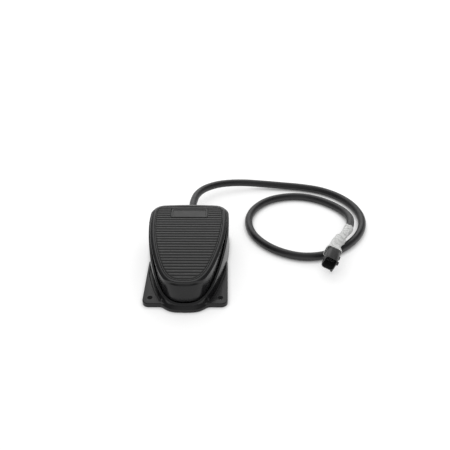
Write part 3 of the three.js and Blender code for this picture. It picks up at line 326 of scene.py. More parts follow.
def block(name, low, high, soften=0.0):
    """A cube between two corners with softened edges."""
    low, high = Vector(low), Vector(high)
    bpy.ops.object.select_all(action="DESELECT")
    bpy.ops.mesh.primitive_cube_add(size=1.0)
    piece = bpy.context.object
    piece.name = piece.data.name = name
    piece.data.transform(Matrix.Translation((low + high) / 2) @ Matrix.Diagonal((*(high - low), 1.0)))
    if soften:
        bpy.ops.object.mode_set(mode="EDIT")
        bpy.ops.mesh.select_all(action="SELECT")
        bpy.ops.mesh.bevel(offset=soften, segments=2, affect="EDGES")
        bpy.ops.object.mode_set(mode="OBJECT")
    return piece


def post(name, radius, low, high, x, y, sides=32):
    return turned(name, [(radius, low), (radius, high)], (x, y, 0.0), (0, 0, 1), sides)


def rounded_rectangle(half_x, half_y, radius, steps=6):
    """Corners (x, y) of a rounded rectangle, from +X round to +Y."""
    points = []
    for k, (sx, sy) in enumerate(((1, 1), (-1, 1), (-1, -1), (1, -1))):
        for i in range(steps + 1):
            angle = math.pi / 2 * (k + i / steps)
            x = sx * (half_x - radius) + radius * math.cos(angle)
            y = sy * (half_y - radius) + radius * math.sin(angle)
            points.append((x, y))
    return points


def lug(x, reach, up):
    """A hinge lug about the shaft: round at one end and reaching down, or up, to a height."""
    turn = 0.0065
    round_end = [
        (PIVOT.y - up * turn * math.cos(math.pi * k / 16), PIVOT.z + up * turn * math.sin(math.pi * k / 16))
        for k in range(17)
    ]
    outline = [(PIVOT.y - up * turn, reach), *round_end, (PIVOT.y + up * turn, reach)]
    return loft("lug", [[Vector((x + d, a, b)) for a, b in outline] for d in (-0.0025, 0.0025)], "flat")


def prism(name, corners, low, high):
    return loft(name, [[Vector((x, y, z)) for x, y in corners] for z in (low, high)], "flat")


def finish(piece, material, body, replaces, angle):
    """Shades the piece, gives it its finish and its body, and hides the nodes that it stands for."""
    alone(piece)
    bpy.ops.object.shade_smooth_by_angle(angle=math.radians(angle))
    piece.data.materials.clear()
    piece.data.materials.append(material)
    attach(piece, body)
    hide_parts(*replaces)


# ---- Finishes ----


def empty_tree(block):
    """The node tree of a material or a world, emptied."""
    block.use_nodes = True
    block.node_tree.nodes.clear()
    return block.node_tree


def add_node(tree, kind, links=None, **values):
    """Adds a shader node with its settings, and sets or links its sockets."""
    made = tree.nodes.new("ShaderNode" + kind)
    for key, value in values.items():
        setattr(made, key, value)
    for socket, value in (links or {}).items():
        if isinstance(value, bpy.types.NodeSocket):
            tree.links.new(value, made.inputs[socket])
        else:
            made.inputs[socket].default_value = value
    return made


def sums(tree, operation, a, b):
    return add_node(tree, "Math", {0: a, 1: b}, operation=operation).outputs[0]


def new_material(name):
    """An empty material, its tree and Object coordinates in millimetres."""
    found = bpy.data.materials.get(name)
    if found:
        return found, None, None
    material = bpy.data.materials.new(name)
    tree = empty_tree(material)
    place = add_node(tree, "TexCoord").outputs["Object"]
    scaled = add_node(tree, "Mapping", {"Vector": place, "Scale": (1000.0, 1000.0, 1000.0)})
    return material, tree, scaled.outputs["Vector"]


def surface(name, tone, other, patch, rough, grain, depth, stretch=(1.0, 1.0, 1.0), **shader):
    """A finish whose colour drifts between two tones in patches, with a grain, both in millimetres."""
    material, tree, place = new_material(name)
    if tree is None:
        return material
    clouds = {"Vector": place, "Scale": 1.0 / patch, "Detail": 3.0, "Roughness": 0.55}
    cloud = add_node(tree, "TexNoise", clouds)
    middle = {"Value": cloud.outputs["Fac"], "From Min": 0.3, "From Max": 0.7}
    drift = add_node(tree, "MapRange", middle)
    mix = add_node(tree, "Mix", {0: drift.outputs["Result"], 6: tone, 7: other}, data_type="RGBA")
    rub = add_node(tree, "MapRange", {**middle, "To Min": rough[0], "To Max": rough[1]})
    stretched = add_node(tree, "Mapping", {"Vector": place, "Scale": stretch}).outputs["Vector"]
    grains = {"Vector": stretched, "Scale": 1.0 / grain, "Detail": 2.0, "Roughness": 0.6}
    fine = add_node(tree, "TexNoise", grains).outputs["Fac"]
    bump = add_node(tree, "Bump", {"Height": fine, "Strength": 1.0, "Distance": depth / 1000.0})
    links = {"Base Color": mix.outputs[2], "Roughness": rub.outputs["Result"], "Normal": bump.outputs["Normal"]}
    principled = add_node(tree, "BsdfPrincipled", {**links, **shader})
    add_node(tree, "OutputMaterial", {"Surface": principled.outputs["BSDF"]})
    return material


def tones(shade, spread):
    """A darker and a lighter tone of one colour."""
    return [(*(min(c * factor, 1.0) for c in shade[:3]), 1.0) for factor in (1 - spread, 1 + spread)]


METAL = {"Metallic": 1.0}
# Every finish: its name, the user's colour or a hex colour, the spread of its tones or a second hex colour, the
# patches in millimetres, the roughness from and to, the grain and its depth in millimetres, the shader's other
# values and, where the grain is drawn out, its stretch.
FINISHES = {
    # Glass-filled nylon, injection moulded in a finely spark-eroded tool: a satin skin whose long soft
    # reflections break up a little. The grain is drawn at 0.5 mm, coarser than the real 0.1 mm.
    "nylon": ("Moulded nylon", "housing", 0.12, 14.0, (0.22, 0.28), 0.5, 0.0015, {"IOR": 1.4}),
    # Nitrile rubber, compression moulded: matt and a little greyer than the housing, with a dusty drift.
    "pad": ("Moulded nitrile rubber", "pad", 0.16, 9.0, (0.36, 0.46), 0.4, 0.015, {"IOR": 1.52}),
    # ABS plate, moulded with a fine matt texture: a flat field that looks paler than the rubber round it.
    "plate": ("Moulded ABS plate", "plate", 0.08, 6.0, (0.42, 0.5), 0.35, 0.008, {"IOR": 1.54}),
    # Vulcanised rubber jacket, extruded: soft sheen, powdery drift and small scuffs from handling.
    "jacket": ("Extruded rubber jacket", "jacket", 0.2, 5.0, (0.32, 0.48), 0.7, 0.02, {"IOR": 1.52}),
    # Moulded EPDM: dull black, nearly no sheen.
    "rubber": ("Moulded EPDM rubber", "171717", 0.2, 3.0, (0.7, 0.85), 0.5, 0.02, {"IOR": 1.5}),
    # Thermoplastic polyester, moulded: even black with a satin sheen.
    "connector": ("Moulded polyester shell", "connector", 0.12, 5.0, (0.4, 0.48), 0.4, 0.004, {"IOR": 1.57}),
    # Zinc-plated steel: pale grey metal with a faint cloudy passivation.
    "steel": ("Zinc-plated steel", "a9abad", "c2c3c2", 4.0, (0.28, 0.4), 0.6, 0.004, METAL),
    # Drawn spring wire and stamped clips: darker, with drawing lines along X.
    "spring": ("Drawn spring steel", "77797c", "939598", 3.0, (0.3, 0.42), 0.4, 0.004, METAL, (0.15, 1.0, 1.0)),
    # Turned contact pins with tin plating: their grey is darkened as painted shade, dull enough to hardly show in the
    # dark mouth.
    "pin": ("Tin-plated pins", "66686b", "7a7c7e", 2.0, (0.35, 0.45), 0.3, 0.003, METAL),
    # Unfilled nylon, turned and moulded: cream white with a waxy sheen.
    "bush": ("Natural nylon", "d9d6cc", 0.05, 4.0, (0.4, 0.5), 0.5, 0.006, {"IOR": 1.53}),
    # Thermoset case of the switch: blue-grey, dry and even.
    "switch": ("Moulded thermoset", "2f4858", 0.1, 5.0, (0.5, 0.6), 0.4, 0.01, {"IOR": 1.55}),
    # Heat-shrunk polyolefin: translucent whitish grey with soft lengthwise streaks where it drew tight.
    "sleeve": (
        "Heat-shrunk polyolefin", "sleeve", 0.28, 3.0, (0.28, 0.45), 1.8, 0.6,
        {
            "Transmission Weight": 0.2, "Subsurface Weight": 0.3, "Subsurface Radius": (0.003, 0.003, 0.003),
            "Subsurface Scale": 1.0, "IOR": 1.49,
        },
        (1.0, 0.25, 1.0),
    ),
}  # fmt: skip
# Extruded PVC insulation: bright colour, soft gloss.
for number, (tint, shade) in enumerate(
    (("red", "b03028"), ("black", "1c1c1c"), ("white", "e0e0dc"), ("green", "2f7a3c")), 1
):
    vinyl = ("Wire vinyl " + tint, shade, 0.08, 3.0, (0.35, 0.45), 0.5, 0.004, {"IOR": 1.53})
    FINISHES[f"wire_{number}"] = vinyl


def made_of(kind):
    """The material of a finish in the table."""
    name, shade, other, patch, rough, grain, depth, shader, *stretch = FINISHES[kind]
    user = bpy.context.scene.foot_switch_finish
    first = getattr(user, shade) if hasattr(user, shade) else linear(shade)
    pair = (first, linear(other)) if isinstance(other, str) else tones(first, other)
    return surface(name, *pair, patch, rough, grain, depth, *stretch, **shader)


# ---- Camera and stage ----


class FOOTSWITCH_OT_stage(bpy.types.Operator):
    """Places the camera, the pale floor and soft studio light"""

    bl_idname = "foot_switch.stage"
    bl_label = "Camera and Stage"

    def execute(self, context):
        camera = bpy.data.cameras.new("Camera")
        camera.lens, camera.sensor_width = 43.2, 36.0
        seat = bpy.data.objects.new("Camera", camera)
        seat.location = (0.04714, -0.51158, 0.4302)
        seat.rotation_euler = (math.radians(54.5), 0.0, math.radians(0.22))
        context.collection.objects.link(seat)
        context.scene.camera = seat

        bpy.ops.object.select_all(action="DESELECT")
        bpy.ops.mesh.primitive_plane_add(size=12.0, location=(0.0, 0.0, -0.0002))
        floor = context.object
        floor.name = "floor"
        floor.data.materials.append(self.floor_paint())

        world = bpy.data.worlds.new("Studio")
        context.scene.world = world
        tree = empty_tree(world)
        seen, glossy = self.seen(tree)
        level = add_node(tree, "MapRange", {"Value": seen, "To Min": 0.8, "To Max": 1.0})
        # What reflections show: white walls low down, a grey ceiling and black flags at the left and the right.
        towards = add_node(tree, "TexCoord").outputs["Generated"]
        parts = add_node(tree, "SeparateXYZ", {"Vector": towards}).outputs
        sideways = sums(tree, "ABSOLUTE", parts["X"], 0.0)
        aside = add_node(
            tree, "MapRange",
            {"Value": sideways, "From Min": 0.1, "From Max": 0.5, "To Min": 0.4, "To Max": 0.85},
        )  # fmt: skip
        ceiling = add_node(
            tree, "MapRange",
            {"Value": parts["Z"], "From Min": 0.1, "From Max": 0.4, "To Max": aside.outputs["Result"]},
            interpolation_type="SMOOTHSTEP",
        )  # fmt: skip
        dimmed = sums(tree, "MULTIPLY", glossy, ceiling.outputs["Result"])
        kept = sums(tree, "SUBTRACT", 1.0, dimmed)
        strength = sums(tree, "MULTIPLY", level.outputs["Result"], kept)
        light = add_node(tree, "Background", {"Color": (1.0, 1.0, 1.0, 1.0), "Strength": strength})
        add_node(tree, "OutputWorld", {"Surface": light.outputs["Background"]})
        # One large soft box behind the object, above it.
        lamp = bpy.data.lights.new("Soft box", "AREA")
        lamp.size, lamp.energy = 1.6, 9.2
        stand = bpy.data.objects.new("Soft box", lamp)
        stand.location = (0.0, 1.15, 1.1)
        aim = Vector((0.08, 0.05, 0.0)) - stand.location
        stand.rotation_euler = aim.to_track_quat("-Z", "Y").to_euler()
        context.collection.objects.link(stand)
        return {"FINISHED"}

    @staticmethod
    def seen(tree):
        """1 where the camera, a reflection or a look through something sees it, and 1 for a reflection."""
        path = add_node(tree, "LightPath")
        glossy = path.outputs["Is Glossy Ray"]
        first = sums(tree, "MAXIMUM", path.outputs["Is Camera Ray"], glossy)
        return sums(tree, "MAXIMUM", first, path.outputs["Is Transmission Ray"]), glossy

    def floor_paint(self):
        """Matt white paint that shows the shadow, lifted to white for what the camera sees; ambient occlusion fades
        the lift near the object as a painted contact shadow.
        """
        material = bpy.data.materials.new("Matt white floor")
        tree = empty_tree(material)
        # Ambient occlusion dims the lift close to the object and in its holes: painted contact shade on the floor.
        contact = add_node(tree, "AmbientOcclusion", {"Distance": 0.005}).outputs["AO"]
        lift = sums(tree, "MULTIPLY", sums(tree, "MULTIPLY", self.seen(tree)[0], 0.5), contact)
        paint = add_node(
            tree,
            "BsdfPrincipled",
            {
                "Base Color": (0.6, 0.6, 0.6, 1.0),
                "Roughness": 1.0,
                "Specular IOR Level": 0.0,
                "Emission Color": (1.0, 1.0, 1.0, 1.0),
                "Emission Strength": lift,
            },
        )
        add_node(tree, "OutputMaterial", {"Surface": paint.outputs["BSDF"]})
        return material


# ---- The cord, its sleeves and the connector ----

MOUTH = Vector((0.1705, -0.0107, 0.0167))
CONNECTOR_ROLL = math.radians(17)
CONNECTOR_TURN = (
    Matrix.Rotation(math.radians(-20), 4, "Z")
    @ Matrix.Rotation(math.radians(4.2), 4, "X")
    @ Matrix.Rotation(CONNECTOR_ROLL, 4, "Y")
)
CONNECTOR = Matrix.Translation(MOUTH) @ CONNECTOR_TURN
# The cord's points, from the gland's mouth to its end in the sleeve.
ROUTE_MM = (
    (0, 99.3, 17), (0.2, 111.2, 17), (1, 125.2, 16.8), (5, 144.2, 16.2), (15, 161.2, 15.2),
    (33, 175.2, 13.8), (53, 182.7, 12.2), (76, 186.5, 10.2), (103, 186.8, 8), (131, 185.2, 6.3),
    (159, 181.8, 5.4), (186.4, 173, 5.3), (209, 156.7, 5.3), (224.5, 135.2, 5.3), (231.8, 111.7, 5.3),
    (231.5, 90.2, 5.3), (224.7, 69.2, 5.3), (210.8, 48.5, 5.3), (190, 30, 5.3), (165.5, 18.5, 5.3),
    (141, 16.8, 5.3), (117.6, 24.8, 5.3), (98.5, 39.2, 5.3), (84.5, 58.7, 5.3), (77.9, 80.2, 5.3),
    (78.4, 102.7, 5.3), (88, 125.5, 5.3), (107, 144.8, 5.3), (131, 154.7, 5.3), (156, 155.7, 5.3),
    (179.8, 147.2, 5.3), (199, 132.2, 5.4), (211, 115.7, 6), (215.5, 99.2, 7.6), (214.3, 86.5, 9.5),
    (211.2, 74.8, 11.5), (208.4, 67.8, 12.8), (205.4, 60.9, 14.2), (198.1, 47.2, 17.1), (191.7, 36.1, 18.9),
)  # fmt: skip
SLEEVE_STEP, SLEEVE_END, SLEEVE_OVERLAP, JACKET_IN_SLEEVE = 0.031, 0.072, 0.007, 0.007


def behind_mouth(distance):
    return MOUTH + CONNECTOR_TURN @ Vector((0.0, distance, 0.0))


def spline(points, steps=10):
    """A smooth line through points spaced by the square root of their distance."""
    points = [2 * points[0] - points[1], *points, 2 * points[-1] - points[-2]]
    line = []
    for a, b, c, d in zip(points, points[1:], points[2:], points[3:]):
        ab, bc, cd = (math.sqrt((q - p).length) for p, q in ((a, b), (b, c), (c, d)))
        start = ((b - a) / ab - (c - a) / (ab + bc) + (c - b) / bc) * bc
        end = ((c - b) / bc - (d - b) / (bc + cd) + (d - c) / cd) * bc
        for k in range(steps):
            t = k / steps
            line.append(
                b * (2 * t**3 - 3 * t**2 + 1)
                + start * (t**3 - 2 * t**2 + t)
                + c * (3 * t**2 - 2 * t**3)
                + end * (t**3 - t**2)
            )
    line.append(points[-2])
    return line


def lead_line():
    barrel = bpy.context.scene.foot_switch_cord.connector_barrel
    route = [Vector(p) / 1000 for p in ROUTE_MM]
    return spline([*route, *(behind_mouth(barrel + d) for d in (0.016, 0.008, 0.0))])


def without_end(line, cut):
    """The line without its last stretch, which is as long as the cut."""
    found, gone = [], 0.0
    points = line[::-1]
    for a, b in zip(points, points[1:]):
        step = (b - a).length
        if gone < cut < gone + step:
            found.append(a + (b - a) * (cut - gone) / step)
        gone += step
        if gone > cut:
            found.append(b)
    return found[::-1]


def point_at(line, distance):
    """(point, direction towards the line's end) at a distance from the line's end."""
    gone = 0.0
    points = line[::-1]
    for a, b in zip(points, points[1:]):
        step = (b - a).length
        if gone + step >= distance:
            return a + (b - a) * (distance - gone) / step, (a - b).normalized()
        gone += step
    return points[-1], (points[-2] - points[-1]).normalized()


class FOOTSWITCH_OT_cord(bpy.types.Operator):
    """Lays the rubber cord from the gland to its sleeve"""

    bl_idname = "foot_switch.cord"
    bl_label = "Cord"

    def execute(self, context):
        cord = context.scene.foot_switch_cord
        points = without_end(lead_line(), SLEEVE_END - JACKET_IN_SLEEVE)
        data = bpy.data.curves.new("rubber_cord", "CURVE")
        data.dimensions = "3D"
        data.bevel_depth = cord.diameter / 2
        data.bevel_resolution = 8
        data.use_fill_caps = True
        line = data.splines.new("POLY")
        line.points.add(len(points) - 1)
        for target, point in zip(line.points, points):
            target.co = (*point, 1.0)
        line.use_smooth = True
        piece = bpy.data.objects.new("rubber_cord", data)
        context.collection.objects.link(piece)
        piece.data.materials.append(made_of("jacket"))
        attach(piece, "base")
        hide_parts("cord")
        with_pieces = [f"{kind}_{i}" for kind in ("connector_wire", "contact_pin") for i in (1, 2, 3, 4)]
        with_pieces += ["cord_tail", "gland_body", "gland_seal", "gland_washer", "gland_dome"]
        with_pieces += ["shrunk_sleeve_front", "shrunk_sleeve_rear"]
        with_pieces += ["connector_shell", "connector_wedge", "connector_seal"]
        return {"FINISHED"}


def hose_rings(line, profile, sides, ragged):
    """Rings round the line at (radius, distance from the line's end). Ragged shifts points of a ring along it."""
    rings = []
    for radius, distance in profile:
        points = []
        for i in range(sides):
            angle = 2 * math.pi * i / sides
            centre, along = point_at(line, max(distance - ragged(angle, distance), 0.0001))
            side = Vector((-along.y, along.x, 0.0)).normalized()
            points.append(centre + radius * (math.cos(angle) * side + math.sin(angle) * along.cross(side)))
        rings.append(points)
    return rings


def boot_ring(line, distance, inset):
    """A ring of the boot: a rounded rectangle round the barrel's end that turns into a circle at the neck."""
    cord = bpy.context.scene.foot_switch_cord
    neck = 0.0125
    square = 1 - smooth(distance / neck)
    along = max(0.0, distance - neck) / (SLEEVE_STEP - neck)
    radius = cord.boot_neck + (cord.boot_step - cord.boot_neck) * along - inset
    centre, ahead = point_at(line, max(distance, 0.0001))
    side = Vector((-ahead.y, ahead.x, 0.0)).normalized()
    over = ahead.cross(side)
    turn = Matrix.Rotation(-CONNECTOR_ROLL, 2)
    points = []
    for x, z in rounded_rectangle(0.0101 - inset, 0.0103 - inset, 0.005 - inset, 9):
        round_x, round_z = (c * radius / math.hypot(x, z) for c in (x, z))
        x, z = round_x + (x - round_x) * square - 0.0003 * square, round_z + (z - round_z) * square
        across_line, above = turn @ Vector((x, z))
        points.append(centre + across_line * side + above * over)
    return points


class FOOTSWITCH_OT_sleeves(bpy.types.Operator):
    """Shapes the translucent boot and shrinks the sleeve behind it over the cord's end"""

    bl_idname = "foot_switch.sleeves"
    bl_label = "Sleeves"

    def execute(self, context):
        line = lead_line()
        step, wall = SLEEVE_STEP, 0.0006
        outside = [(0.0003, 0.0006), (0.0004, 0.0002), (0.0008, 0.0)]
        outside += [(0.002 + (step - 0.0055) * k / 20, 0.0) for k in range(21)]
        outside += [(step - 0.003, 0.0002), (step - 0.002, -0.0005), (step - 0.0009, -0.0007), (step, -0.0001)]
        inside = [(step, wall), (step - 0.0004, wall + 0.0001)]
        inside += [(step * (1 - k / 14), wall + 0.0004 * max(0.0, 1 - 3 * (1 - k / 14))) for k in range(1, 14)]
        inside += [(0.0006, 0.001), (0.0003, 0.0009)]
        rings = [boot_ring(line, distance, inset) for distance, inset in outside + inside]
        rings = [self.creased(points, line, distance) for points, (distance, _) in zip(rings, outside + inside)]
        piece = loft("shrunk_sleeve_front", rings, "joined")
        finish(piece, made_of("sleeve"), "base", ["sleeve_front"], 50)

        r = context.scene.foot_switch_cord.sleeve_radius
        start = step - SLEEVE_OVERLAP
        reach = SLEEVE_END - start

        def ragged(angle, distance):
            # The far end was cut in a slant, with a notch over the top of the cord.
            share = max(0.0, (distance - start - 0.6 * reach) / (0.4 * reach))
            slant = 0.0055 * (1 + math.cos(angle - 0.4)) / 2
            notch = 0.003 * math.exp(-(((angle - 1.6) / 0.3) ** 2))
            return share * (slant + notch)

        def shrunk(distance):
            """The radius: full over the jacket and in the boot, drawn in over the wires between them."""
            return r - 0.001 * smooth((distance - step) / 0.002) * (1 - smooth((distance - step - 0.022) / 0.01))

        rear = [(shrunk(start + reach * k / 24), start + reach * k / 24) for k in range(25)]
        rear += [(radius - wall, distance) for radius, distance in reversed(rear)]
        rings = hose_rings(line, rear, 48, ragged)
        rings = [self.creased(points, line, distance) for points, (_, distance) in zip(rings, rear)]
        piece = loft("shrunk_sleeve_rear", rings, "joined")
        finish(piece, made_of("sleeve"), "base", ["sleeve_rear"], 50)
        return {"FINISHED"}

    @staticmethod
    def creased(points, line, distance):
        """Draws a ring's points in by lengthwise creases and the dents of a hand-fitted sleeve."""
        centre = point_at(line, max(distance, 0.0001))[0]
        ease = smooth(distance / 0.004)
        out = []
        for i, point in enumerate(points):
            angle = 2 * math.pi * i / len(points)
            crease = 0.5 + 0.5 * math.sin(5 * angle + 1.2 * math.sin(distance / 0.006) + 0.7)
            dent = 0.5 + 0.5 * math.sin(distance / 0.0031 + 2 * math.sin(angle + 0.4))
            out.append(centre + (point - centre) * (1 - ease * (0.035 * crease**3 + 0.02 * dent)))
        return out


class FOOTSWITCH_OT_connector(bpy.types.Operator):
    """Moulds the connector's shell with its guide blocks and its key"""

    bl_idname = "foot_switch.connector"
    bl_label = "Connector"

    def execute(self, context):
        cord = context.scene.foot_switch_cord
        x, z = cord.connector_width / 2, cord.connector_height / 2
        wall, deep, corner = cord.connector_wall, cord.connector_barrel, 0.0048

        def frame_ring(inset, y):
            corners = rounded_rectangle(x - inset, z - inset, corner - inset, 8)
            return [Vector((a, y, b)) for a, b in corners]

        rings = [frame_ring(0.0008, deep), frame_ring(0.0002, deep - 0.0003), frame_ring(0.0, deep - 0.0009)]
        rings += [frame_ring(0.0, 0.0004), frame_ring(0.0001, 0.0001), frame_ring(0.0004, 0.0)]
        rings += [frame_ring(wall - 0.0004, 0.0), frame_ring(wall, 0.0004), frame_ring(wall, deep - 0.003)]
        shell = loft("connector_shell", rings, "flat")
        tail = turned("tail", [(0.0058, deep - 0.0005), (0.0058, deep + 0.009)], (0, 0, 0), (0, 1, 0), 40)
        carve(shell, tail, "UNION")
        for start in (0.0, 0.0095):
            low, high = (x - wall / 2, start, 0.0015), (x + 0.0017, start + 0.0045, 0.0045)
            carve(shell, block("guide", low, high, 0.0004), "UNION")
        key = block("key", (x - 0.0028, 0.0, -z - 0.0016), (x - 0.0002, 0.006, 0.0042 - z), 0.0004)
        carve(key, loft("mouth", [frame_ring(wall, y) for y in (-0.001, 0.007)], "flat"))
        carve(shell, key, "UNION")
        for sx in (-1, 1):
            for sz in (-1, 1):
                bore = turned("bore", [(0.0011, 0.002), (0.0011, 0.03)], (sx * 0.0023, 0, sz * 0.0027), (0, 1, 0), 20)
                carve(shell, bore)
        shell.data.transform(CONNECTOR)
        finish(shell, made_of("connector"), "base", ["connector_housing"], 40)
        return {"FINISHED"}


# ---- The gland ----


class FOOTSWITCH_OT_gland(bpy.types.Operator):
    """Turns the gland's fluted cap"""

    bl_idname = "foot_switch.gland"
    bl_label = "Gland"

    def execute(self, context):
        low, high = (c.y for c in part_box("gland_cap"))
        deep = high - low
        outer, bore = 0.011, 0.0055
        flutes = 12

        def flute(angle, along):
            inside = low + 0.0012 < along < low + deep * 0.62
            return 0.0007 * (0.5 - 0.5 * math.cos(flutes * angle)) if inside else 0.0

        profile = [(0.0083, low), (outer - 0.0006, low), (outer, low + 0.0008), (outer, low + 0.0014)]
        dome = ((0.0, 0.3), (0.0001, 0.6), (0.0006, 0.68), (0.0018, 0.82), (0.0032, 0.93))
        profile += [(outer - inset, low + deep * share) for inset, share in dome]
        profile += [(outer - 0.0043, high - 0.0003), (bore + 0.0006, high), (bore, high - 0.0006)]
        profile += [(bore, high - 0.003), (0.0083, high - 0.005)]
        cap = turned("gland_dome", profile, (0, 0, CORD_Z), (0, 1, 0), 72, flute, "joined")
        finish(cap, made_of("nylon"), "base", ["gland_cap"], 40)
        return {"FINISHED"}


# ---- The base ----


def ear_outline(inset):
    """The ears' plan with the concave fillets that lead into the bulge, drawn in by an inset."""
    base = settings()[1]
    corner, back = 0.0075, 0.01125
    r = base.fillet
    tip_centre = TIP_Y + TIP
    front = base.ear_front
    centre_y = -front - r
    reach = TIP + BULGE + SHOULDER + r
    centre_x = math.sqrt(reach**2 - (tip_centre - centre_y) ** 2)
    end = math.atan2(tip_centre - centre_y, -centre_x)  # towards the tip's centre
    right = []

    def arc(cx, cy, radius, start, stop, steps):
        for k in range(steps + 1):
            angle = start + (stop - start) * k / steps
            right.append((cx + radius * math.cos(angle), cy + radius * math.sin(angle)))

    x = base.ear_half_width - corner
    arc(x, back - corner, corner - inset, math.pi / 2, 0.0, 6)
    arc(x, corner - front, corner - inset, 0.0, -math.pi / 2, 8)
    arc(centre_x, centre_y, r + inset, math.pi / 2, end, 7)
    return right + [(-a, b) for a, b in reversed(right)]


class FOOTSWITCH_OT_base(bpy.types.Operator):
    """Moulds the base with its wall, ears, pockets and bosses"""

    bl_idname = "foot_switch.base"
    bl_label = "Base"

    def execute(self, context):
        base = settings()[1]

        def at(height, share):
            """The wall's offset at a height, with a share of the bulge round the tip."""
            drafted = RIM + (FOOT - RIM) * max(0.0, 1 - height / (base.rim_tip_height - 0.0007))

            def grown(y, x):
                sideways = SHOULDER * smooth((abs(x) - 0.0016) / 0.0134)
                near_tip = 1 - smooth((y - TIP_Y - 0.0083) / 0.008)
                return drafted + share * (near_tip * (BULGE + sideways - FOOT) + flattened(y, x))

            return grown

        def drawn_in(height, inset):
            grown = at(height, 1)
            return lambda y, x: grown(y, x) - inset

        # The foot: the height that its draft is taken at, the share of the bulge and the ring's height.
        foot = (
            (0.0, 1, 0.0008), (0.0015, 1, 0.002), (0.003, 1, 0.0034), (0.0042, 0.9, 0.0042), (0.0049, 0.7, 0.0049),
            (0.0055, 0.47, 0.0055), (0.0061, 0.26, 0.0061), (0.0067, 0.09, 0.0067),
        )  # fmt: skip
        edge = ((0.0, 0.0009), (0.00015, 0.0004), (0.0005, 0.0001), (0.0009, 0.0))
        rings = [ring(drawn_in(0.0, 0.0007), 0.0), ring(drawn_in(0.0, 0.0002), 0.0003)]
        rings += [ring(at(drafted, share), height) for drafted, share, height in foot]
        rings += [ring(RIM - inset, below(rim, depth)) for inset, depth in edge]
        body = loft("base_moulding", rings)
        thick = base.ear_thickness
        ears = [(0.0, 0.0), (0.0, thick - 0.001), (0.00015, thick - 0.0005)]
        ears += [(0.0005, thick - 0.00015), (0.001, thick)]
        plate = loft("ears", [[Vector((x, y, z)) for x, y in ear_outline(inset)] for inset, z in ears], "flat")
        sides = ((0.0052, 0.0028), (0.0056, thick - 0.0008), (0.0063, thick + 0.0001), (0.0063, thick + 0.001))
        pocket = loft("pocket", [ring(offset, height) for offset, height in sides])
        half = base.ear_half_width - 0.0024
        carve(pocket, block("room", (-half, TIP_Y + 0.0084, 0.0), (half, 0.00825, 2 * thick)), "INTERSECT")
        carve(pocket, loft("inside", [ring(0.0026, 0.0), ring(0.0026, 3 * thick)]))
        carve(plate, pocket)
        carve(body, plate, "UNION")
        for side in (-1, 1):
            hole = post("hole", base.ear_hole / 2, -0.001, thick + 0.001, side * EAR_HOLE_X, EAR_HOLE_Y, 40)
            carve(body, hole)
        edge = ((0.0, 0.0008), (0.0002, 0.0003), (0.0006, 0.0))
        rings = [ring(CAVITY, base.floor)] + [ring(CAVITY + out, below(rim, depth)) for out, depth in edge]
        carve(body, loft("hollow", [*rings, ring(CAVITY + 0.0007, ABOVE)]))
        self.inside(body, base)
        finish(body, made_of("nylon"), "base", ["base_housing"], 32)
        return {"FINISHED"}

    @staticmethod
    def inside(body, base):
        """The frame round the opening, the bosses, the hinge lugs and the spring's post."""
        y, half_x, half_y = 0.013, 0.025, 0.026
        places = [(sx * (half_x + 0.0031), y + sy * (half_y + 0.0031)) for sx in (-1, 1) for sy in (-1, 1)]
        corners = [(a, b + y) for a, b in rounded_rectangle(half_x + 0.008, half_y + 0.008, 0.003)]
        carve(body, prism("frame", corners, 0.001, 0.008), "UNION")
        for a, b in places:
            carve(body, post("boss", 0.0045, 0.001, 0.0115, a, b), "UNION")
        for side in (-1, 1):
            carve(body, lug(side * 0.032, 0.001, 1), "UNION")
        carve(body, post("spring_post", 0.0053, 0.001, 0.008, 0.0, SPRING_Y), "UNION")
        bore = turned("bore", [(0.0033, -0.04), (0.0033, 0.04)], (0, PIVOT.y, PIVOT.z), (1, 0, 0), 32)
        carve(body, bore)
        opening = [(a, b + y) for a, b in rounded_rectangle(half_x, half_y, 0.001)]
        carve(body, prism("opening", opening, -0.001, 0.018))
        recess = [(a, b + y) for a, b in rounded_rectangle(half_x + 0.0065, half_y + 0.0065, 0.003)]
        carve(body, prism("recess", recess, -0.001, 0.0038))
        for a, b in places:
            carve(body, post("screw_hole", 0.0018, 0.0, SCREW_HOLE_Z, a, b, 20))
        gland = turned("gland_hole", [(0.0083, 0.07), (0.0083, 0.083)], (0, 0, CORD_Z), (0, 1, 0), 40)
        carve(body, gland)


# ---- The treadle ----


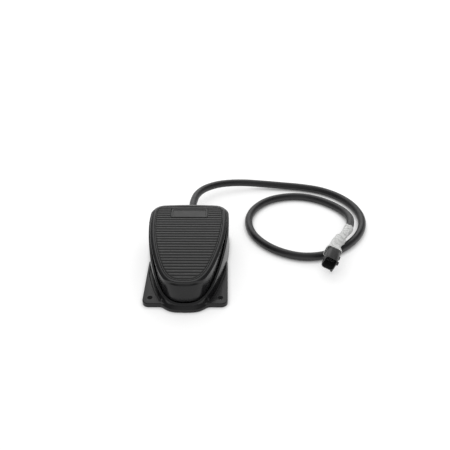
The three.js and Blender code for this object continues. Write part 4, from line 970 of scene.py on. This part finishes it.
class FOOTSWITCH_OT_treadle(bpy.types.Operator):
    """Moulds the treadle's shell with its rounded lip"""

    bl_idname = "foot_switch.treadle"
    bl_label = "Treadle"

    def execute(self, context):
        treadle = settings()[0]
        lip, rim_width = treadle.lip_height, treadle.rim_width
        recess, ceiling = 0.002, 0.0044

        def under(depth):
            return below(top, depth)

        def at_side(y, x):
            """0 at the front of the tip, where the rim is level over a thin undercut lip, and 1 round the sides."""
            return smooth((abs(x) - 0.013) / 0.01) if y < 0 else 1.0

        def drawn_in(offset, inset):
            return lambda y, x: offset - inset * (1 - at_side(y, x))

        def lip_down(extra):
            return lambda y, x: top(y) - lip + 0.0016 * (1 - at_side(y, x)) - extra

        def skirt_foot(lift):
            return lambda y, x: 0.0092 + 0.02 * (y - TIP_Y) + lift

        def sloped(level, drop):
            return lambda y, x: top(y) - level - (drop - level) * at_side(y, x)

        def rim_at(inset):
            return lambda y, x: -inset * (0.55 + 0.45 * at_side(y, x)) - 0.002 * (1 - at_side(y, x))

        rings = [
            ring(drawn_in(SKIRT - 0.0022, 0.003), under(ceiling + 0.001)),
            ring(drawn_in(SKIRT - 0.0022, 0.001), skirt_foot(0.0004)),
            ring(drawn_in(SKIRT - 0.0018, 0.001), skirt_foot(0.0)),
            ring(SKIRT - 0.0005, skirt_foot(0.0)),
            ring(SKIRT - 0.0001, skirt_foot(0.0002)),
            ring(SKIRT, skirt_foot(0.0006)),
            ring(drawn_in(SKIRT, 0.0015), lip_down(0.005)),
            ring(drawn_in(SKIRT, 0.0018), lip_down(0.0044)),
            ring(drawn_in(SKIRT, 0.003), lip_down(0.0036)),
            ring(drawn_in(SKIRT, 0.0033), lip_down(0.003)),
            ring(drawn_in(SKIRT, 0.0033), lip_down(0.0)),
            ring(drawn_in(-0.0004, 0.002), lip_down(0.0)),
            ring(drawn_in(-0.0001, 0.002), lip_down(-0.0002)),
            ring(drawn_in(0.0, 0.002), lip_down(-0.0005)),
        ]
        slope = treadle.rim_drop
        for inset, level, drop in (
            (0.0, 0.0006, 1.4), (0.0002, 0.0003, 1.15), (0.0006, 0.0001, 0.95), (0.0012, 0.0, 0.8),
            (0.002, 0.0, 0.5), (0.0024, 0.0, 0.35), (0.0028, 0.0, 0.22), (0.0032, 0.0, 0.12),
        ):  # fmt: skip
            rings.append(ring(rim_at(inset), sloped(level, drop * slope)))
        rings += [
            ring(-rim_width + 0.0004, top),
            ring(-rim_width, under(0.0003)),
            ring(-rim_width, under(recess)),
        ]
        shell = loft("treadle_moulding", rings)
        for side in (-1, 1):
            x = side * 0.0256
            carve(shell, lug(x, top(PIVOT.y) - 0.0034, -1), "UNION")
            bore = turned("bore", [(0.005, x - 0.004), (0.005, x + 0.004)], (0, PIVOT.y, PIVOT.z), (1, 0, 0), 32)
            carve(shell, bore)
            for radius, px, py, low in (
                (0.0045, side * 0.019, -0.047, self.front_stop()),
                (0.0036, side * 0.0185, 0.0686, 0.0119),
            ):
                carve(shell, post("stop", radius, low, top(py) - 0.0034, px, py), "UNION")
        roof = top(SPRING_Y) - 0.0034
        pad_low = top(SPRING_Y) - 0.0058
        carve(shell, post("spring_pad", 0.0095, pad_low, roof, 0.0, SPRING_Y), "UNION")
        carve(shell, post("spring_guide", 0.0053, pad_low - 0.006, roof, 0.0, SPRING_Y), "UNION")
        carve(shell, post("boss", 0.0055, 0.036, top(0.0) - 0.0034, 0.0, 0.0), "UNION")
        carve(shell, post("actuator_hole", 0.0028, 0.02, 0.04, 0.0, 0.0, 24))
        notch = block("notch", (-0.0143, FAR_Y - 0.0082, 0.0), (0.0143, FAR_Y - 0.0002, 0.0313))
        carve(shell, notch)
        finish(shell, made_of("nylon"), "treadle", ["treadle_shell"], 32)
        return {"FINISHED"}

    @staticmethod
    def front_stop():
        """Foot of the stop over a front bumper, which the stop meets at the end of the press."""
        return 0.014 + (PIVOT.y + 0.047 + 0.0045) * math.tan(PRESS_ANGLE) + 0.0003


# ---- The ribbed pad and the plate ----

PAD = -0.0054  # offset of the pad's edge from the outline
PLATE_FAR = 0.0122  # from the outline's far edge to the plate
PLATE_GROOVE = 0.0008  # round the plate


class FOOTSWITCH_OT_pad(bpy.types.Operator):
    """Moulds the ribbed rubber pad"""

    bl_idname = "foot_switch.pad"
    bl_label = "Ribbed Pad"

    def execute(self, context):
        treadle = settings()[0]
        width = half_width(0.02)
        columns, rows_per_rib = 140, 10
        high, low = FAR_Y + PAD - 0.0007, TIP_Y - PAD + 0.0007
        count = int((high - low) / treadle.rib_pitch)
        first = (high + low - count * treadle.rib_pitch) / 2
        rows = (count + 2) * rows_per_rib
        bpy.ops.object.select_all(action="DESELECT")
        bpy.ops.mesh.primitive_grid_add(x_subdivisions=columns, y_subdivisions=rows, size=1.0)
        pad = context.object
        pad.name = pad.data.name = "ribbed_pad"
        start, end = first - treadle.rib_pitch, first + (count + 1) * treadle.rib_pitch
        edge = [(p.x, p.y) for p in ring(PAD - 0.0013, 0.0)]
        for v in pad.data.vertices:
            x, y = v.co.x * 2 * width, start + (v.co.y + 0.5) * (end - start)
            room = self.room(edge, x, y)
            share = min(max(room / 0.0009, 0.0), 1.0)
            rise = math.sqrt(share * (2 - share)) if share else 0.0
            v.co = (x, y, top(y) - 0.0004 + rise * self.rib((y - first) / treadle.rib_pitch, treadle.rib_height))
        bpy.ops.object.mode_set(mode="EDIT")
        bpy.ops.mesh.select_all(action="SELECT")
        bpy.ops.mesh.extrude_region_move(TRANSFORM_OT_translate={"value": (0.0, 0.0, -0.004)})
        bpy.ops.mesh.select_all(action="SELECT")
        bpy.ops.mesh.normals_make_consistent(inside=False)
        bpy.ops.object.mode_set(mode="OBJECT")
        shape = loft(
            "pad_shape",
            [ring(PAD, below(top, 0.0017)), ring(PAD, below(top, 0.0006)), ring(PAD - 0.0003, ABOVE)],
        )
        carve(pad, shape, "INTERSECT")
        border = ((0.0, 0.0012), (0.0, 0.0001), (0.0002, -0.0003))
        border += ((0.0008, -0.0003), (0.001, 0.0001), (0.001, 0.0012))
        carve(pad, loft("border", [ring(PAD - a, below(top, b)) for a, b in border], "joined"), "UNION")
        plate_far = FAR_Y - PLATE_FAR
        half, near = treadle.plate_width / 2 + PLATE_GROOVE, plate_far - treadle.plate_length
        corners = [(y, top(y) - 0.0009) for y in (near - PLATE_GROOVE, plate_far + PLATE_GROOVE)]
        outline = [*corners, (corners[1][0], ABOVE), (corners[0][0], ABOVE)]
        pocket = loft("pocket", [[Vector((x, a, b)) for a, b in outline] for x in (-half, half)], "flat")
        carve(pad, pocket)
        finish(pad, made_of("pad"), "treadle", ["tread_pad"], 40)
        return {"FINISHED"}

    @staticmethod
    def rib(turns, height):
        """Height of the ribs at a number of pitches: a round top and a flat valley."""
        if turns < 0:
            return 0.0
        from_middle = abs(turns % 1.0 - 0.5) / 0.42
        return height * math.sqrt(max(0.0, 1 - from_middle**2.6)) if from_middle < 1 else 0.0

    @staticmethod
    def room(edge, x, y):
        """Distance from a point inside the edge to the edge, below zero outside."""
        best, inside = 1.0, False
        for (ax, ay), (bx, by) in zip(edge, edge[1:] + edge[:1]):
            dx, dy = bx - ax, by - ay
            t = min(max(((x - ax) * dx + (y - ay) * dy) / (dx * dx + dy * dy), 0.0), 1.0)
            best = min(best, math.hypot(x - ax - t * dx, y - ay - t * dy))
            if (ay > y) != (by > y) and x < ax + (y - ay) * dx / dy:
                inside = not inside
        return best if inside else -best


class FOOTSWITCH_OT_plate(bpy.types.Operator):
    """Moulds the bare plate with its raised frame"""

    bl_idname = "foot_switch.plate"
    bl_label = "Plate"

    def execute(self, context):
        treadle = settings()[0]
        half, far, frame_width = treadle.plate_width / 2, FAR_Y - PLATE_FAR, treadle.plate_frame
        middle, half_y = far - treadle.plate_length / 2, treadle.plate_length / 2

        def layer(inset, rise, corner=0.0012):
            corners = rounded_rectangle(half - inset, half_y - inset, corner, 4)
            return [Vector((x, middle + y, top(middle + y) - 0.00065 + rise)) for x, y in corners]

        rings = [layer(0.0, 0.0), layer(0.0, 0.0009), layer(0.0002, 0.0013), layer(0.0006, 0.0015)]
        rings += [layer(0.0016, 0.0015), layer(0.0019, 0.0014), layer(0.0022, 0.001)]
        rings += [layer(frame_width, 0.0007, 0.0028), layer(frame_width + 0.0006, 0.0007, 0.0028)]
        plate = loft("bare_plate", rings, "flat")
        finish(plate, made_of("plate"), "treadle", ["name_plate"], 30)
        return {"FINISHED"}


# ---- Finishes of the pieces inside, which keep their shape ----


class FOOTSWITCH_OT_inner_finishes(bpy.types.Operator):
    """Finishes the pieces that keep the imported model's shape"""

    bl_idname = "foot_switch.inner_finishes"
    bl_label = "Inner Finishes"

    def execute(self, context):
        kinds = {
            "rubber": ("cover_gasket", "front_bumper", "rear_bumper", "gland_seal", "gland_washer", "connector_seal"),
            "steel": ("cover_screw", "pivot_shaft", "switch_bracket", "bracket_screw", "switch_screw", "actuator"),
            "spring": ("retaining_clip", "return_spring"),
            "pin": ("contact_pin",),
            "bush": ("hinge_bush", "switch_plunger"),
            "switch": ("switch_body",),
            "jacket": ("cord",),
            "connector": ("connector_wedge", "connector_housing"),
        }
        for name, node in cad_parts.items():
            if "_wire_" in name:
                kind = name[-6:]
            else:
                found = [kind for kind, names in kinds.items() if name.startswith(names)]
                kind = found[0] if found else "nylon"
            node.data.materials.clear()
            node.data.materials.append(made_of(kind))
        return {"FINISHED"}


# ---- Panel and registration ----

OPERATORS = (
    FOOTSWITCH_OT_stage,
    FOOTSWITCH_OT_sleeves,
    FOOTSWITCH_OT_connector,
    FOOTSWITCH_OT_gland,
    FOOTSWITCH_OT_cord,
    FOOTSWITCH_OT_base,
    FOOTSWITCH_OT_treadle,
    FOOTSWITCH_OT_pad,
    FOOTSWITCH_OT_plate,
    FOOTSWITCH_OT_inner_finishes,
)
GROUPS = {
    "foot_switch_treadle": TreadleSettings,
    "foot_switch_base": BaseSettings,
    "foot_switch_cord": CordSettings,
    "foot_switch_finish": FinishSettings,
}


class FOOTSWITCH_PT_panel(bpy.types.Panel):
    """Lists the steps and the values of the foot switch"""

    bl_idname = "FOOTSWITCH_PT_panel"
    bl_label = "Foot Switch"
    bl_space_type = "VIEW_3D"
    bl_region_type = "UI"
    bl_category = "Foot Switch"

    def draw(self, context):
        for step in OPERATORS:
            self.layout.operator(step.bl_idname)
        for name, group in GROUPS.items():
            column = self.layout.column()
            for value in group.__annotations__:
                column.prop(getattr(context.scene, name), value)


def register():
    for kind in (*GROUPS.values(), *OPERATORS, FOOTSWITCH_PT_panel):
        bpy.utils.register_class(kind)
    for name, group in GROUPS.items():
        setattr(bpy.types.Scene, name, bpy.props.PointerProperty(type=group))


def unregister():
    for name in GROUPS:
        delattr(bpy.types.Scene, name)
    for kind in (FOOTSWITCH_PT_panel, *reversed(OPERATORS), *GROUPS.values()):
        bpy.utils.unregister_class(kind)


def main():
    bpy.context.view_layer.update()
    register()
    bpy.context.scene.view_settings.view_transform = "Standard"
    for step in OPERATORS:
        getattr(bpy.ops.foot_switch, step.bl_idname.split(".")[1])()


if __name__ == "__main__":
    main()
